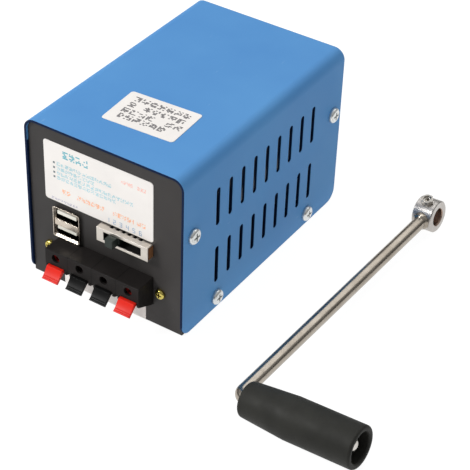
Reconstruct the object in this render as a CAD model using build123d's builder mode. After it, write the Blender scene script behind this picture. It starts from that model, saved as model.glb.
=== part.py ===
"""Hand crank generator: a sheet steel box with a gear train, a generator and a regulator, and its crank.

The crank is off its shaft and lies on the floor to the right of the box. Millimetres, +Z up, the
front panel faces -Y, and the origin is the middle of the flat base that the box stands on.
"""

from build123d import *
from math import acos, asin, atan2, cos, hypot, pi, radians, sin, sqrt, tan
import os

# The box
box_width = 90.0
box_length = 140.0
box_height = 90.0
sheet = 1.2
cover_bend = 6.0
cover_lift = 0.5
cover_corner = 6.5
panel_setback = 1.2
panel_gap = 0.2
chassis_bend = 1.5
flange_depth = 12.0
panel_flange_low = 17.0
panel_flange_high = 80.0
floor_flange_length = 104.0
floor_flange_margin = 6.0
flange_chamfer = 3.0

# Vents in the cover's sides
vent_length = 21.0
vent_width = 3.0
vent_pitch = 10.5
vents_per_row = 9
vent_rows_z = (27.0, 60.7)

# Fasteners
cover_screw_d = 4.0
cover_screw_head_d = 8.0
cover_screw_head_h = 2.2
cover_screw_length = 8.0
cover_screw_upper = (62.1, 56.0)
cover_screw_lower = (41.4, 7.0)
cover_nut_d = 6.4
cover_nut_length = 3.0
thread_gap = 0.05
hole_gap = 0.15
small_screw_d = 3.0
small_screw_head_d = 5.4
small_screw_head_h = 1.8

# Stickers
sticker = 0.15
sticker_corner = 1.6
top_label_size = (39.0, 27.0)
top_label_at = (2.8, -35.2)
top_label_turn = 3.2
front_label_width = 62.4
front_label_x = -3.5
front_label_drop = 8.3
front_label_gap = 0.75
lower_label_width = 48.4
lower_label_x = -0.8
lower_label_top = 11.9
lower_label_wrap = radians(50)

# Stacked USB-A sockets
usb_x = -21.95
usb_width = 14.0
usb_bottom = 29.6
usb_height = 15.6
usb_shell_wall = 0.35
usb_lip = 0.85
usb_lip_depth = 1.2
usb_proud = 1.6
usb_port_width = 12.5
usb_port_height = 5.2
usb_port_pitch = 8.7
usb_port_depth = 9.0
usb_tongue_width = 11.2
usb_tongue_height = 1.85
usb_tongue_setback = 0.8
usb_tongue_gap = 0.5
usb_web_setback = 0.3
usb_contact_size = (1.0, 0.25)
usb_contact_pitch = 2.5
usb_contact_length = 7.0

# Voltage selector, a slide switch
selector_x = 12.8
selector_z = 43.75
selector_frame_size = (29.2, 7.8)
selector_proud = 4.2
selector_plate = 0.6
selector_frame_depth = 9.0
selector_slot_size = (21.4, 4.8)
selector_notch_width = 1.8
selector_notch_depth = 1.3
selector_body_depth = 11.0
selector_track_depth = 4.0
selector_steps = 5
selector_step = 3.3
selector_rest_step = 1
selector_knob_size = (4.5, 4.5)
selector_knob_proud = 3.8
selector_knob_round = 0.4
selector_shoe = 0.4
selector_pin_d = 0.8

# Push terminals
terminal_x = 0.2
terminal_width = 54.6
terminal_proud = 11.6
terminal_top = 28.2
terminal_chin = 19.6
terminal_heel = 12.2
terminal_wall = 1.5
terminal_back = 4.6
terminal_cells = 4
terminal_pitch = 14.1
terminal_pocket = 9.9
terminal_notch = 0.4
terminal_hole_d = 4.5
terminal_hole_z = 24.3
terminal_screw_spacing = 65.0
terminal_screw_shift = -0.9
terminal_ear = 4.5
terminal_ear_thickness = 2.0
terminal_screw_z = 20.5
terminal_screw_spare = 3.4
terminal_nut_flats = 5.5
terminal_nut_thickness = 2.4
lever_side_gap = 0.45
lever_gap = 0.5
lever_arm = 2.2
lever_shelf = 1.7
lever_tab = 1.3
lever_reach = 4.3
lever_drop = 5.1
lever_pivot_z = 25.2
lever_pivot_d = 1.6
lever_pin_length = 0.9
lever_hole_d = 2.6
lever_sag = 0.4
lever_ribs = 2
lever_rib_pitch = 0.9
lever_rib_r = 0.2
contact_strip = 0.5
contact_width = 7.0
contact_tail_width = 2.6

# Regulator board
board_y = -53.6
board_thickness = 1.6
board_side_gap = 4.6
board_bottom = 10.0
board_top = 66.0
bracket_side_gap = 9.6
bracket_width = 9.0
bracket_height = 26.0
bracket_foot = 12.0
bracket_screw_z = 20.0
capacitor_sizes = ((10.0, 17.0), (10.0, 17.0), (8.0, 13.0))
capacitor_places = ((-30.0, 57.0), (-18.5, 57.0), (-8.0, 58.0))
inductor_at = (8.0, 56.5)
inductor_d = 18.0
inductor_core = 6.0
inductor_height = 8.0
chip_size = (10.0, 9.0, 4.0)
chip_places = ((-12.0, 40.0), (4.0, 36.0))
heat_sink_inset = 7.8
heat_sink_z = 52.0
heat_sink_size = (13.6, 26.0)
heat_sink_base = 3.0
heat_sink_fin = 12.0
heat_sink_fins = 4
heat_sink_fin_thickness = 1.2

# Gear train between two plates
input_x = 0.0
input_z = 50.0
plate_thickness = 2.0
plate_side_gap = 5.1
plate_bottom = 8.0
plate_top_gap = 7.6
plate_corner = 5.0
gear_space = 26.0
pillar_d = 8.0
pillar_inset = 4.5
pillar_screw_d = 4.0
pillar_screw_head_d = 7.6
pillar_screw_head_h = 2.2
pillar_thread = 7.0
pressure_angle = radians(25)
tooth_addendum = 0.95
tooth_dedendum = 1.15
tooth_backlash = 0.1
first_module = 1.0
first_gear_teeth = 48
second_module = 0.8
second_gear_teeth = 40
third_module = 0.6
third_gear_teeth = 36
pinion_teeth = 12
first_angle = radians(-120)
second_angle = radians(-5)
third_angle = radians(65)
first_gear_width = 6.0
second_gear_width = 5.0
third_gear_width = 4.0
pinion_extra = 0.6
first_gear_y = 63.5
second_gear_y = 55.0
third_gear_y = 47.5
layshaft_d = (7.0, 5.0)
layshaft_journal_d = (5.0, 4.0)
shaft_play = 0.2
running_gap = 0.05
bush_wall = 1.5
bush_flange = 1.0
bush_flange_lip = 1.0

# Input shaft and its ball bearing
input_d = 9.0
input_seat_d = 10.0
input_shoulder_d = 12.0
input_journal_d = 6.0
input_free_length = 15.0
input_flat_depth = 0.7
input_flat_length = 7.8
bearing_od = 24.0
bearing_width = 7.0
bearing_ring = 2.4
bearing_balls = 8
bearing_ball_d = 3.2
bearing_ball_gap = 0.1
bearing_inset = 1.6
housing_flange_d = 42.0
housing_flange = 3.0
housing_boss_d = 30.0
housing_boss = 7.2
housing_lip_d = 19.0
housing_screws = 4
housing_pcd = 36.0
circlip_thickness = 0.9
circlip_width = 1.3
circlip_groove = 0.4

# Generator
generator_d = 42.0
generator_wall = 1.5
generator_plate = 4.0
generator_length = 46.0
generator_boss_d = 15.0
generator_screw_pcd = 30.0
generator_screws = 3
stator_length = 24.0
stator_slots = 6
stator_back = 2.4
stator_tooth = 5.0
stator_shoe = 1.6
stator_bore_d = 22.0
stator_shoe_opening = 2.6
coil_gap = 0.3
coil_thickness = 2.0
rotor_d = 21.0
rotor_length = 27.0
rotor_shaft_d = 4.0
rotor_bearing_d = 11.0
rotor_bearing_width = 4.0
lead_d = 2.0
lead_spread = 5.0
lead_bend = 7.0

# Crank
crank_arm_length = 170.0
crank_rod_d = 6.8
crank_bend = 3.7
crank_hub_d = 16.8
crank_hub_length = 11.0
crank_hub_chamfer = 0.5
crank_bore_gap = 0.05
crank_rod_seat = 5.2
crank_hub_x = 98.0
crank_hub_y = 75.7
crank_heading = radians(-1.8)
weld_width = 1.3
weld_rise = 1.6
set_screw_d = 4.0
set_screw_offset = 0.0
set_screw_lean = radians(12)
set_screw_end = 0.3
set_screw_recess = 0.8
set_screw_socket = 2.0
set_screw_socket_depth = 2.0
spot_face_depth = 0.4
lock_nut_flats = 5.6
lock_nut_thickness = 3.0
grip_start = 4.0
grip_taper_end = 28.0
grip_end = 63.3
grip_start_r = 8.5
grip_r = 10.3
grip_round = 1.6
grip_lip_round = 1.2
grip_recess_r = 7.4
grip_recess_depth = 9.7
grip_bore_gap = 0.1
spindle_thread_d = 5.0
grip_washer_d = 11.0
grip_washer_thickness = 1.0
grip_nut_flats = 7.0
grip_nut_height = 3.6
grip_nut_dome = 2.6

# Places that follow from the sizes above
front_y = panel_setback - box_length / 2
panel_inner_y = front_y + sheet
rear_y = -front_y
rear_inner_y = rear_y - sheet
cover_inner_x = box_width / 2 - sheet
chassis_x = cover_inner_x - panel_gap
panel_top = box_height - sheet - panel_gap
plate_width = 2 * (chassis_x - plate_side_gap)
plate_top = panel_top - plate_top_gap
board_width = 2 * (chassis_x - board_side_gap)
bracket_x = chassis_x - bracket_side_gap
heat_sink_x = board_width / 2 - heat_sink_inset
front_label_top = box_height - front_label_drop
front_label_bottom = selector_z + selector_frame_size[1] / 2 + front_label_gap
rear_plate_y = rear_inner_y - plate_thickness
front_plate_y = rear_plate_y - gear_space
gearbox_front_y = front_plate_y - plate_thickness


def front_plane(x, y, z):
    """A plane that faces the front: its own x is the part's X, its own y is the part's Z."""
    return Plane(origin=(x, y, z), x_dir=(1, 0, 0), z_dir=(0, -1, 0))


def rear_plane(x, y, z):
    """A plane that faces the rear: its own x is the part's -X, its own y is the part's Z."""
    return Plane(origin=(x, y, z), x_dir=(-1, 0, 0), z_dir=(0, 1, 0))


def side_plane(x, y=0.0, z=0.0):
    """A plane that faces right: its own x is the part's Y, its own y is the part's Z."""
    return Plane(origin=(x, y, z), x_dir=(0, 1, 0), z_dir=(1, 0, 0))


def left_plane(x, y=0.0, z=0.0):
    """A plane that faces left: its own x is the part's -Y, its own y is the part's Z."""
    return Plane(origin=(x, y, z), x_dir=(0, -1, 0), z_dir=(-1, 0, 0))


def save(piece, label):
    """Labels a finished piece and writes it to its own file."""
    piece.part.label = label
    export_step(piece.part, f"parts/{label}.step")


def copies(piece, places):
    """Separate copies of a piece, one at each place."""
    with BuildPart() as group:
        with Locations(*places):
            add(piece.part)
    return group


def cross_recess_screw(head_d, head_h, shank_d, length):
    """A pan head screw with a cross recess, its head above Z = 0 and its shank below."""
    arm = head_d * 0.56
    arm_width = head_d * 0.13
    with BuildPart() as screw:
        with BuildSketch(Plane.XY):
            Circle(head_d / 2)
        extrude(amount=head_h)
        fillet(screw.edges().group_by(Axis.Z)[-1], head_h * 0.72)
        with BuildSketch(Plane.XY):
            Circle(shank_d / 2)
        extrude(amount=-length)
        chamfer(screw.edges().group_by(Axis.Z)[0], shank_d * 0.12)
        with BuildSketch(Plane.XY.offset(head_h)):
            Rectangle(arm, arm_width)
            Rectangle(arm_width, arm)
        extrude(amount=-head_h * 0.6, taper=8, mode=Mode.SUBTRACT)
    return screw


def hex_nut(flats, thickness, bore_d):
    """A hexagon nut standing on Z = 0, with its corners eased on top."""
    with BuildPart() as nut:
        with BuildSketch(Plane.XY):
            RegularPolygon(flats / 2, 6, major_radius=False)
            Circle(bore_d / 2, mode=Mode.SUBTRACT)
        extrude(amount=thickness)
        with BuildSketch(Plane.XZ):
            with BuildLine():
                Polyline(
                    (flats / 2, thickness),
                    (flats, thickness),
                    (flats, thickness - (flats / 2) * tan(radians(30))),
                    close=True,
                )
            make_face()
        revolve(axis=Axis.Z, mode=Mode.SUBTRACT)
    return nut


def sticker_sheet(plane, size):
    """A thin sticker with round corners, on a plane."""
    with BuildPart() as label:
        with BuildSketch(plane):
            RectangleRounded(size[0], size[1], sticker_corner)
        extrude(amount=sticker)
    return label


# ---------------------------------------------------------------- box


def cover_screw_planes(x):
    """Where the cover's screws seat on the planes x and -x, facing out."""
    places = []
    for along, height in (cover_screw_upper, cover_screw_lower):
        for y in (-along, along):
            places.append(side_plane(x, y, height))
            places.append(left_plane(-x, y, height))
    return places


def make_cover():
    """The cover: one sheet bent over the top and down both sides, with vents and screw holes."""
    drop = box_height - cover_lift
    with BuildPart() as cover:
        with BuildSketch(front_plane(0, box_length / 2, cover_lift)):
            RectangleRounded(box_width, 2 * drop, cover_bend)
            inner_drop = drop - sheet
            RectangleRounded(
                2 * cover_inner_x, 2 * inner_drop, cover_bend - sheet, mode=Mode.SUBTRACT
            )
            Rectangle(
                2 * box_width, 2 * drop, align=(Align.CENTER, Align.MAX), mode=Mode.SUBTRACT
            )
        extrude(amount=box_length)
        fillet(cover.edges().filter_by(Axis.X).group_by(Axis.Z)[0], cover_corner)
        with BuildSketch(side_plane(-box_width / 2)):
            for row_z in vent_rows_z:
                with Locations((0, row_z)):
                    with GridLocations(vent_pitch, 0, vents_per_row, 1):
                        SlotOverall(vent_length, vent_width, rotation=90)
        extrude(amount=box_width, mode=Mode.SUBTRACT)
        with Locations(*cover_screw_planes(box_width / 2)):
            Hole(cover_screw_d / 2 + hole_gap, depth=sheet)
    return cover


def flange_outline(start, end, low, high):
    """A flange's outline on a side plane, its two free corners cut off."""
    corner = flange_chamfer if end > start else -flange_chamfer
    with BuildLine() as outline:
        Polyline(
            (start, low),
            (end - corner, low),
            (end, low + flange_chamfer),
            (end, high - flange_chamfer),
            (end - corner, high),
            (start, high),
            close=True,
        )
    make_face(outline.edges())


def panel_cutouts():
    """The openings of the front panel, drawn on its inner face."""
    gap = hole_gap
    with Locations((usb_x, usb_bottom + usb_height / 2)):
        RectangleRounded(usb_width + 2 * gap, usb_height + 2 * gap, 1.0)
    with Locations((selector_x, selector_z)):
        Rectangle(selector_frame_size[0] + 2 * gap, selector_frame_size[1] + 2 * gap)
    with Locations((terminal_x, (terminal_top + terminal_heel) / 2)):
        Rectangle(terminal_width + 2 * gap, terminal_top - terminal_heel + 2 * gap)
    with Locations(*terminal_screw_places()):
        Circle(small_screw_d / 2 + gap)


def make_chassis():
    """The chassis: front panel, floor and rear panel in one bent sheet, with its flanges."""
    floor_flange_high = cover_screw_lower[1] + floor_flange_margin
    with BuildPart() as chassis:
        with BuildSketch(side_plane(-chassis_x)) as section:
            Rectangle(2 * rear_y, panel_top, align=(Align.CENTER, Align.MIN))
            fillet(section.vertices().group_by(Axis.Y)[0], chassis_bend)
            with Locations((0, sheet)):
                RectangleRounded(
                    2 * rear_inner_y,
                    2 * panel_top,
                    chassis_bend - sheet,
                    align=(Align.CENTER, Align.MIN),
                    mode=Mode.SUBTRACT,
                )
        extrude(amount=2 * chassis_x)
        fillet(
            chassis.edges().filter_by(Axis.Y).group_by(Axis.Z)[-1],
            cover_bend - sheet - panel_gap,
        )
        for x in (-chassis_x, chassis_x - sheet):
            with BuildSketch(side_plane(x)):
                flange_outline(
                    panel_inner_y, panel_inner_y + flange_depth, panel_flange_low, panel_flange_high
                )
                flange_outline(
                    rear_inner_y, rear_inner_y - flange_depth, panel_flange_low, panel_flange_high
                )
            extrude(amount=sheet)
            with BuildSketch(side_plane(x)):
                with BuildLine():
                    half = floor_flange_length / 2
                    Polyline(
                        (-half, 0.5 * sheet),
                        (half, 0.5 * sheet),
                        (half, floor_flange_high - flange_chamfer),
                        (half - flange_chamfer, floor_flange_high),
                        (flange_chamfer - half, floor_flange_high),
                        (-half, floor_flange_high - flange_chamfer),
                        close=True,
                    )
                make_face()
            extrude(amount=sheet)
        with BuildSketch(front_plane(0, panel_inner_y, 0)):
            panel_cutouts()
        extrude(amount=sheet, mode=Mode.SUBTRACT)
        with BuildSketch(front_plane(0, rear_y, 0)):
            with Locations((input_x, input_z)):
                Circle(housing_boss_d / 2 + hole_gap)
                with PolarLocations(housing_pcd / 2, housing_screws, start_angle=45):
                    Circle(small_screw_d / 2 + thread_gap)
            with Locations(*pillar_places()):
                Circle(pillar_screw_d / 2 + hole_gap)
        extrude(amount=sheet, mode=Mode.SUBTRACT)
        with BuildSketch(Plane.XY):
            with Locations(*bracket_floor_places()):
                Circle(small_screw_d / 2 + thread_gap)
        extrude(amount=sheet, mode=Mode.SUBTRACT)
        with Locations(*cover_screw_planes(chassis_x)):
            Hole(cover_nut_d / 2, depth=sheet)
    return chassis


def make_cover_nuts():
    """Clinch nuts pressed into the flanges from inside, one for each cover screw."""
    collar = 1.0
    with BuildPart() as nut:
        with BuildSketch(Plane.XY):
            Circle(cover_nut_d / 2)
        extrude(amount=-sheet)
        with BuildSketch(Plane.XY.offset(-sheet)):
            Circle(cover_nut_d / 2 + collar)
        extrude(amount=-cover_nut_length)
        with BuildSketch(Plane.XY):
            Circle(cover_screw_d / 2 + thread_gap)
        extrude(amount=-sheet - cover_nut_length, mode=Mode.SUBTRACT)
    return copies(nut, cover_screw_planes(chassis_x))


def make_lower_label():
    """The sticker under the terminals, which runs on round the chassis's bend."""
    inner = chassis_bend
    outer = chassis_bend + sticker
    rise = lower_label_top - chassis_bend
    turns = (0.0, lower_label_wrap / 2, lower_label_wrap)
    outer_arc = [(-outer * cos(turn), -outer * sin(turn)) for turn in turns]
    inner_arc = [(-inner * cos(turn), -inner * sin(turn)) for turn in turns]
    start = lower_label_x - lower_label_width / 2
    with BuildPart() as label:
        with BuildSketch(side_plane(start, front_y + chassis_bend, chassis_bend)):
            with BuildLine():
                Polyline(inner_arc[0], (-inner, rise), (-outer, rise), outer_arc[0])
                ThreePointArc(*outer_arc)
                Line(outer_arc[-1], inner_arc[-1])
                ThreePointArc(*inner_arc)
            make_face()
        extrude(amount=lower_label_width)
        fillet(label.edges().filter_by(Axis.Y).group_by(Axis.Z)[-1], sticker_corner)
    return label


def make_labels():
    """The three stickers: on the top, and above and below the front panel's fittings."""
    return {
        "top_label": sticker_sheet(
            Plane.XY.offset(box_height).move(Location((*top_label_at, 0), (0, 0, top_label_turn))),
            top_label_size,
        ),
        "front_label": sticker_sheet(
            front_plane(front_label_x, front_y, (front_label_top + front_label_bottom) / 2),
            (front_label_width, front_label_top - front_label_bottom),
        ),
        "lower_label": make_lower_label(),
    }


# ---------------------------------------------------------------- stacked USB sockets


def usb_lip_planes():
    """The front of the sockets' flared lip and the plane where the lip starts."""
    middle = usb_bottom + usb_height / 2
    front = front_y - usb_proud
    return front_plane(usb_x, front, middle), front_plane(usb_x, front + usb_lip_depth, middle)


def usb_port_floor():
    """Y of the ports' floor, where the tongues start."""
    return front_y - usb_proud + usb_port_depth


def make_usb_shell():
    """The sockets' sheet steel shell, flared at its mouth, with a folded web between the ports."""
    lip_front, lip_root = usb_lip_planes()
    length = lip_root.origin.Y - board_y
    web_height = usb_port_pitch - usb_port_height
    web_plane = front_plane(usb_x, usb_port_floor(), usb_bottom + usb_height / 2)
    web_depth = usb_port_depth - usb_web_setback
    with BuildPart() as shell:
        for wall, mode in ((0.0, Mode.ADD), (usb_shell_wall, Mode.SUBTRACT)):
            width = usb_width - 2 * wall
            height = usb_height - 2 * wall
            with BuildSketch(lip_root):
                RectangleRounded(width, height, 1.0)
            extrude(amount=length, mode=mode)
            with BuildSketch(lip_root):
                RectangleRounded(width, height, 1.0)
            with BuildSketch(lip_front):
                RectangleRounded(width + 2 * usb_lip, height + 2 * usb_lip, 1.0)
            loft(mode=mode)
        with BuildSketch(web_plane):
            Rectangle(usb_width - usb_shell_wall, web_height)
        extrude(amount=web_depth)
        with BuildSketch(web_plane):
            Rectangle(usb_width - 2 * usb_shell_wall, web_height - 2 * usb_shell_wall)
        extrude(amount=web_depth - usb_shell_wall, mode=Mode.SUBTRACT)
    return shell


def tongue_bottoms():
    """How far each tongue's lower face lies above the sockets' middle."""
    top = usb_port_height / 2 - usb_tongue_gap - usb_tongue_height
    return top - usb_port_pitch / 2, top + usb_port_pitch / 2


def make_usb_insulator():
    """The moulding inside the shell: its back block, a rib in the folded web and two tongues."""
    middle = usb_bottom + usb_height / 2
    port_floor = usb_port_floor()
    clear = 2 * (usb_shell_wall + thread_gap)
    floor_plane = front_plane(usb_x, port_floor, middle)
    with BuildPart() as insulator:
        with BuildSketch(front_plane(usb_x, board_y, middle)):
            RectangleRounded(usb_width - clear, usb_height - clear, 0.9)
        extrude(amount=board_y - port_floor)
        with BuildSketch(floor_plane):
            Rectangle(usb_port_width, usb_port_pitch - usb_port_height - clear)
        extrude(amount=usb_port_depth - usb_tongue_setback)
        with BuildSketch(floor_plane):
            for bottom in tongue_bottoms():
                with Locations((0, bottom)):
                    Rectangle(
                        usb_tongue_width, usb_tongue_height, align=(Align.CENTER, Align.MIN)
                    )
        extrude(amount=usb_port_depth - usb_tongue_setback)
    return insulator


def make_usb_contacts():
    """Four plated contacts under each tongue."""
    middle = usb_bottom + usb_height / 2
    start = usb_port_floor()
    with BuildPart() as contacts:
        with BuildSketch(front_plane(usb_x, start, middle)):
            for bottom in tongue_bottoms():
                with Locations((0, bottom - usb_contact_size[1] / 2)):
                    with GridLocations(usb_contact_pitch, 0, 4, 1):
                        Rectangle(*usb_contact_size)
        extrude(amount=usb_contact_length)
    return contacts


# ---------------------------------------------------------------- voltage selector


def selector_front():
    """Y of the selector frame's front face."""
    return front_y - selector_proud


def make_selector_frame():
    """The switch's folded steel frame: a slotted front with a wall above and below."""
    width, height = selector_frame_size
    face = selector_front()
    with BuildPart() as frame:
        with BuildSketch(front_plane(selector_x, face + selector_frame_depth, selector_z)):
            Rectangle(width, height)
            Rectangle(width, height - 2 * selector_plate, mode=Mode.SUBTRACT)
        extrude(amount=selector_frame_depth - selector_plate)
        with BuildSketch(front_plane(selector_x, face + selector_plate, selector_z)):
            Rectangle(width, height)
            Rectangle(*selector_slot_size, mode=Mode.SUBTRACT)
        extrude(amount=selector_plate)
        top = selector_z + height / 2
        with BuildSketch(Plane.XY.offset(top)):
            with Locations((selector_x, front_y)):
                with GridLocations(selector_step, 0, selector_steps + 1, 1):
                    Rectangle(selector_notch_width, 2 * selector_notch_depth)
        extrude(amount=-selector_plate, mode=Mode.SUBTRACT)
    return frame


def make_selector_body():
    """The switch's laminated body, with the track that the knob's shoe slides in."""
    width, height = selector_frame_size
    face = selector_front() + selector_plate
    track_gap = 2 * selector_shoe
    with BuildPart() as body:
        with BuildSketch(front_plane(selector_x, face + selector_body_depth, selector_z)):
            Rectangle(width - 2 * thread_gap, height - 2 * selector_plate - 2 * thread_gap)
        extrude(amount=selector_body_depth)
        with BuildSketch(front_plane(selector_x, face + selector_track_depth, selector_z)):
            Rectangle(selector_slot_size[0] + track_gap, selector_slot_size[1] + track_gap)
        extrude(amount=selector_track_depth, mode=Mode.SUBTRACT)
    return body


def selector_knob_x():
    """X of the knob's middle where it rests."""
    middle_step = selector_steps / 2
    return selector_x + (selector_rest_step - middle_step) * selector_step


def make_selector_knob():
    """The knob: a stem through the slot on a wider shoe in the track, with ribs for the finger."""
    face = selector_front()
    shoe_gap = 0.3
    shoe_front = face + selector_plate + shoe_gap
    shoe_back = face + selector_plate + selector_track_depth - shoe_gap
    x = selector_knob_x()
    with BuildPart() as knob:
        with BuildSketch(front_plane(x, shoe_front, selector_z)):
            Rectangle(*selector_knob_size)
        extrude(amount=shoe_front - face + selector_knob_proud)
        rim = knob.faces().sort_by(Axis.Y)[0].edges()
        fillet(rim, selector_knob_round)
        with BuildSketch(front_plane(x, shoe_back, selector_z)):
            Rectangle(
                selector_knob_size[0] + 2 * selector_shoe,
                selector_slot_size[1] + 2 * (selector_shoe - shoe_gap),
            )
        extrude(amount=shoe_back - shoe_front)
    return knob


def selector_pin_places():
    """X and Z of the switch's pins."""
    places = []
    for row in (-1, 1):
        for step in range(selector_steps + 1):
            x = selector_x + (step - selector_steps / 2) * (selector_step + 0.5)
            places.append((x, selector_z + row * selector_frame_size[1] / 4))
    return places


def make_selector_pins():
    """The pins that join the switch to the board."""
    start = selector_front() + selector_plate + selector_body_depth
    end = board_y + board_thickness + 0.5
    with BuildPart() as pins:
        with BuildSketch(front_plane(0, end, 0)):
            with Locations(*selector_pin_places()):
                Circle(selector_pin_d / 2)
        extrude(amount=end - start)
    return pins


# ---------------------------------------------------------------- push terminals


def terminal_screw_places():
    """X and Z of the terminal block's two screws."""
    half = terminal_screw_spacing / 2
    middle = terminal_x + terminal_screw_shift
    return [(middle - half, terminal_screw_z), (middle + half, terminal_screw_z)]


def terminal_cell_x(cell):
    """X of the middle of a terminal, counted from the left."""
    return terminal_x + (cell - (terminal_cells - 1) / 2) * terminal_pitch


def make_terminal_body():
    """The terminal block: four cells open below, wire holes in front, and ears behind the panel."""
    face = front_y - terminal_proud
    back = front_y + terminal_back
    inner = face + terminal_wall
    roof = terminal_top - terminal_wall
    cheek = 1.2
    cheek_drop = 2.2
    with BuildPart() as body:
        with BuildSketch(side_plane(terminal_x - terminal_width / 2)):
            with BuildLine():
                Polyline(
                    (face, terminal_top),
                    (face, terminal_chin),
                    (front_y, terminal_heel),
                    (back, terminal_heel),
                    (back, terminal_top),
                    close=True,
                )
            make_face()
        extrude(amount=terminal_width)
        fillet(body.edges().filter_by(Axis.X).sort_by(Axis.Y)[:1], 0.5)
        with BuildSketch(front_plane(terminal_x, panel_inner_y + terminal_ear_thickness, 0)):
            with Locations((0, terminal_heel)):
                Rectangle(
                    terminal_screw_spacing + 2 * terminal_ear,
                    terminal_top - terminal_heel,
                    align=(Align.CENTER, Align.MIN),
                )
        extrude(amount=terminal_ear_thickness)
        for cell in range(terminal_cells):
            x = terminal_cell_x(cell)
            for side in (-terminal_pocket / 2 - cheek, terminal_pocket / 2):
                with BuildSketch(side_plane(x + side)):
                    with BuildLine():
                        Polyline(
                            (face + 0.1, terminal_chin + 1.0),
                            (face + 0.1, terminal_chin - cheek_drop),
                            (front_y - 1.0, terminal_heel + 0.2),
                            (front_y - 1.0, terminal_heel + 3.0),
                            close=True,
                        )
                    make_face()
                extrude(amount=cheek)
            with BuildSketch(side_plane(x - terminal_pocket / 2)):
                with Locations((inner, roof)):
                    Rectangle(
                        back - terminal_wall - inner, terminal_top, align=(Align.MIN, Align.MAX)
                    )
            extrude(amount=terminal_pocket, mode=Mode.SUBTRACT)
            with BuildSketch(front_plane(x, inner, terminal_chin - 1.0)):
                Rectangle(
                    terminal_pocket, 1.0 + terminal_notch, align=(Align.CENTER, Align.MIN)
                )
            extrude(amount=terminal_wall, mode=Mode.SUBTRACT)
            with BuildSketch(front_plane(x, inner, terminal_hole_z)):
                Circle(terminal_hole_d / 2)
            extrude(amount=terminal_wall, mode=Mode.SUBTRACT)
            pin_wall = terminal_pocket + 2 * (lever_pin_length + hole_gap)
            with BuildSketch(side_plane(x - pin_wall / 2, lever_pivot_y(), lever_pivot_z)):
                Circle(lever_pivot_d / 2 + running_gap)
            extrude(amount=pin_wall, mode=Mode.SUBTRACT)
            with BuildSketch(front_plane(x, back, contact_tail_z())):
                Rectangle(contact_tail_width + 2 * hole_gap, contact_strip + 2 * hole_gap)
            extrude(amount=terminal_wall, mode=Mode.SUBTRACT)
        with BuildSketch(front_plane(0, panel_inner_y + terminal_ear_thickness, 0)):
            with Locations(*terminal_screw_places()):
                Circle(small_screw_d / 2 + hole_gap)
        extrude(amount=terminal_ear_thickness, mode=Mode.SUBTRACT)
    return body


def lever_pivot_y():
    """Y of the levers' pivot, in the middle of their arms."""
    return front_y - terminal_proud + terminal_wall + lever_gap + lever_arm / 2


def make_terminal_lever(cell):
    """One push lever: an arm behind the face, a shelf through the notch and a curved finger tab."""
    face = front_y - terminal_proud
    arm_front = face + terminal_wall + lever_gap
    arm_back = arm_front + lever_arm
    shelf_top = terminal_chin + terminal_notch - lever_gap
    shelf_bottom = shelf_top - lever_shelf
    tab_top_y = face - lever_tab
    tip = (tab_top_y - lever_reach, shelf_top - lever_drop)
    slope = hypot(lever_reach, lever_drop)
    across = (lever_drop / slope, -lever_reach / slope)
    middle = ((tab_top_y + tip[0]) / 2, (shelf_top + tip[1]) / 2)
    front_middle = (middle[0] + lever_sag * across[0], middle[1] + lever_sag * across[1])
    back_middle = (
        front_middle[0] + lever_tab * across[0],
        front_middle[1] + lever_tab * across[1],
    )
    tip_back = (tip[0] + lever_tab * across[0], tip[1] + lever_tab * across[1])
    width = terminal_pocket - 2 * lever_side_gap
    x = terminal_cell_x(cell)
    with BuildPart() as lever:
        with BuildSketch(side_plane(x - width / 2)):
            with BuildLine():
                ThreePointArc((tab_top_y, shelf_top), front_middle, tip)
                Line(tip, tip_back)
                ThreePointArc(tip_back, back_middle, (face, shelf_bottom))
                Line((face, shelf_bottom), (arm_back, shelf_bottom))
                Line((arm_back, shelf_bottom), (arm_back, lever_pivot_z))
                ThreePointArc(
                    (arm_back, lever_pivot_z),
                    (lever_pivot_y(), lever_pivot_z + lever_arm / 2),
                    (arm_front, lever_pivot_z),
                )
                Line((arm_front, lever_pivot_z), (arm_front, shelf_top))
                Line((arm_front, shelf_top), (tab_top_y, shelf_top))
            make_face()
        extrude(amount=width)
        with BuildSketch(side_plane(x - width / 2)):
            for rib in range(1, lever_ribs + 1):
                share = 1 - rib * lever_rib_pitch / slope
                dip = 4 * lever_sag * share * (1 - share)
                groove = (
                    tab_top_y - share * lever_reach + dip * across[0],
                    shelf_top - share * lever_drop + dip * across[1],
                )
                with Locations(groove):
                    Circle(lever_rib_r)
        extrude(amount=width, mode=Mode.SUBTRACT)
        with BuildSketch(front_plane(x, arm_back, terminal_hole_z - 0.8)):
            Circle(lever_hole_d / 2)
        extrude(amount=lever_arm, mode=Mode.SUBTRACT)
        pins = width + 2 * (lever_side_gap + lever_pin_length)
        with BuildSketch(side_plane(x - pins / 2, lever_pivot_y(), lever_pivot_z)):
            Circle(lever_pivot_d / 2)
        extrude(amount=pins)
    return lever


def contact_tail_z():
    """Z of the middle of the contacts' tails."""
    return terminal_heel + 2.5


def make_terminal_contacts():
    """Four brass strips: each hangs from its cell's roof and runs back through the board."""
    strip_y = lever_pivot_y() + lever_arm / 2 + 2.8
    roof = terminal_top - terminal_wall
    end = board_y + board_thickness + 0.5
    with BuildPart() as contacts:
        with BuildSketch(front_plane(0, strip_y, 0)):
            for cell in range(terminal_cells):
                with Locations((terminal_cell_x(cell), roof)):
                    Rectangle(
                        contact_width,
                        roof - contact_tail_z() + contact_strip / 2,
                        align=(Align.CENTER, Align.MAX),
                    )
        extrude(amount=contact_strip)
        with BuildSketch(front_plane(0, end, contact_tail_z())):
            for cell in range(terminal_cells):
                with Locations((terminal_cell_x(cell), 0)):
                    Rectangle(contact_tail_width, contact_strip)
        extrude(amount=end - strip_y)
    return contacts


# ---------------------------------------------------------------- regulator board


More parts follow.
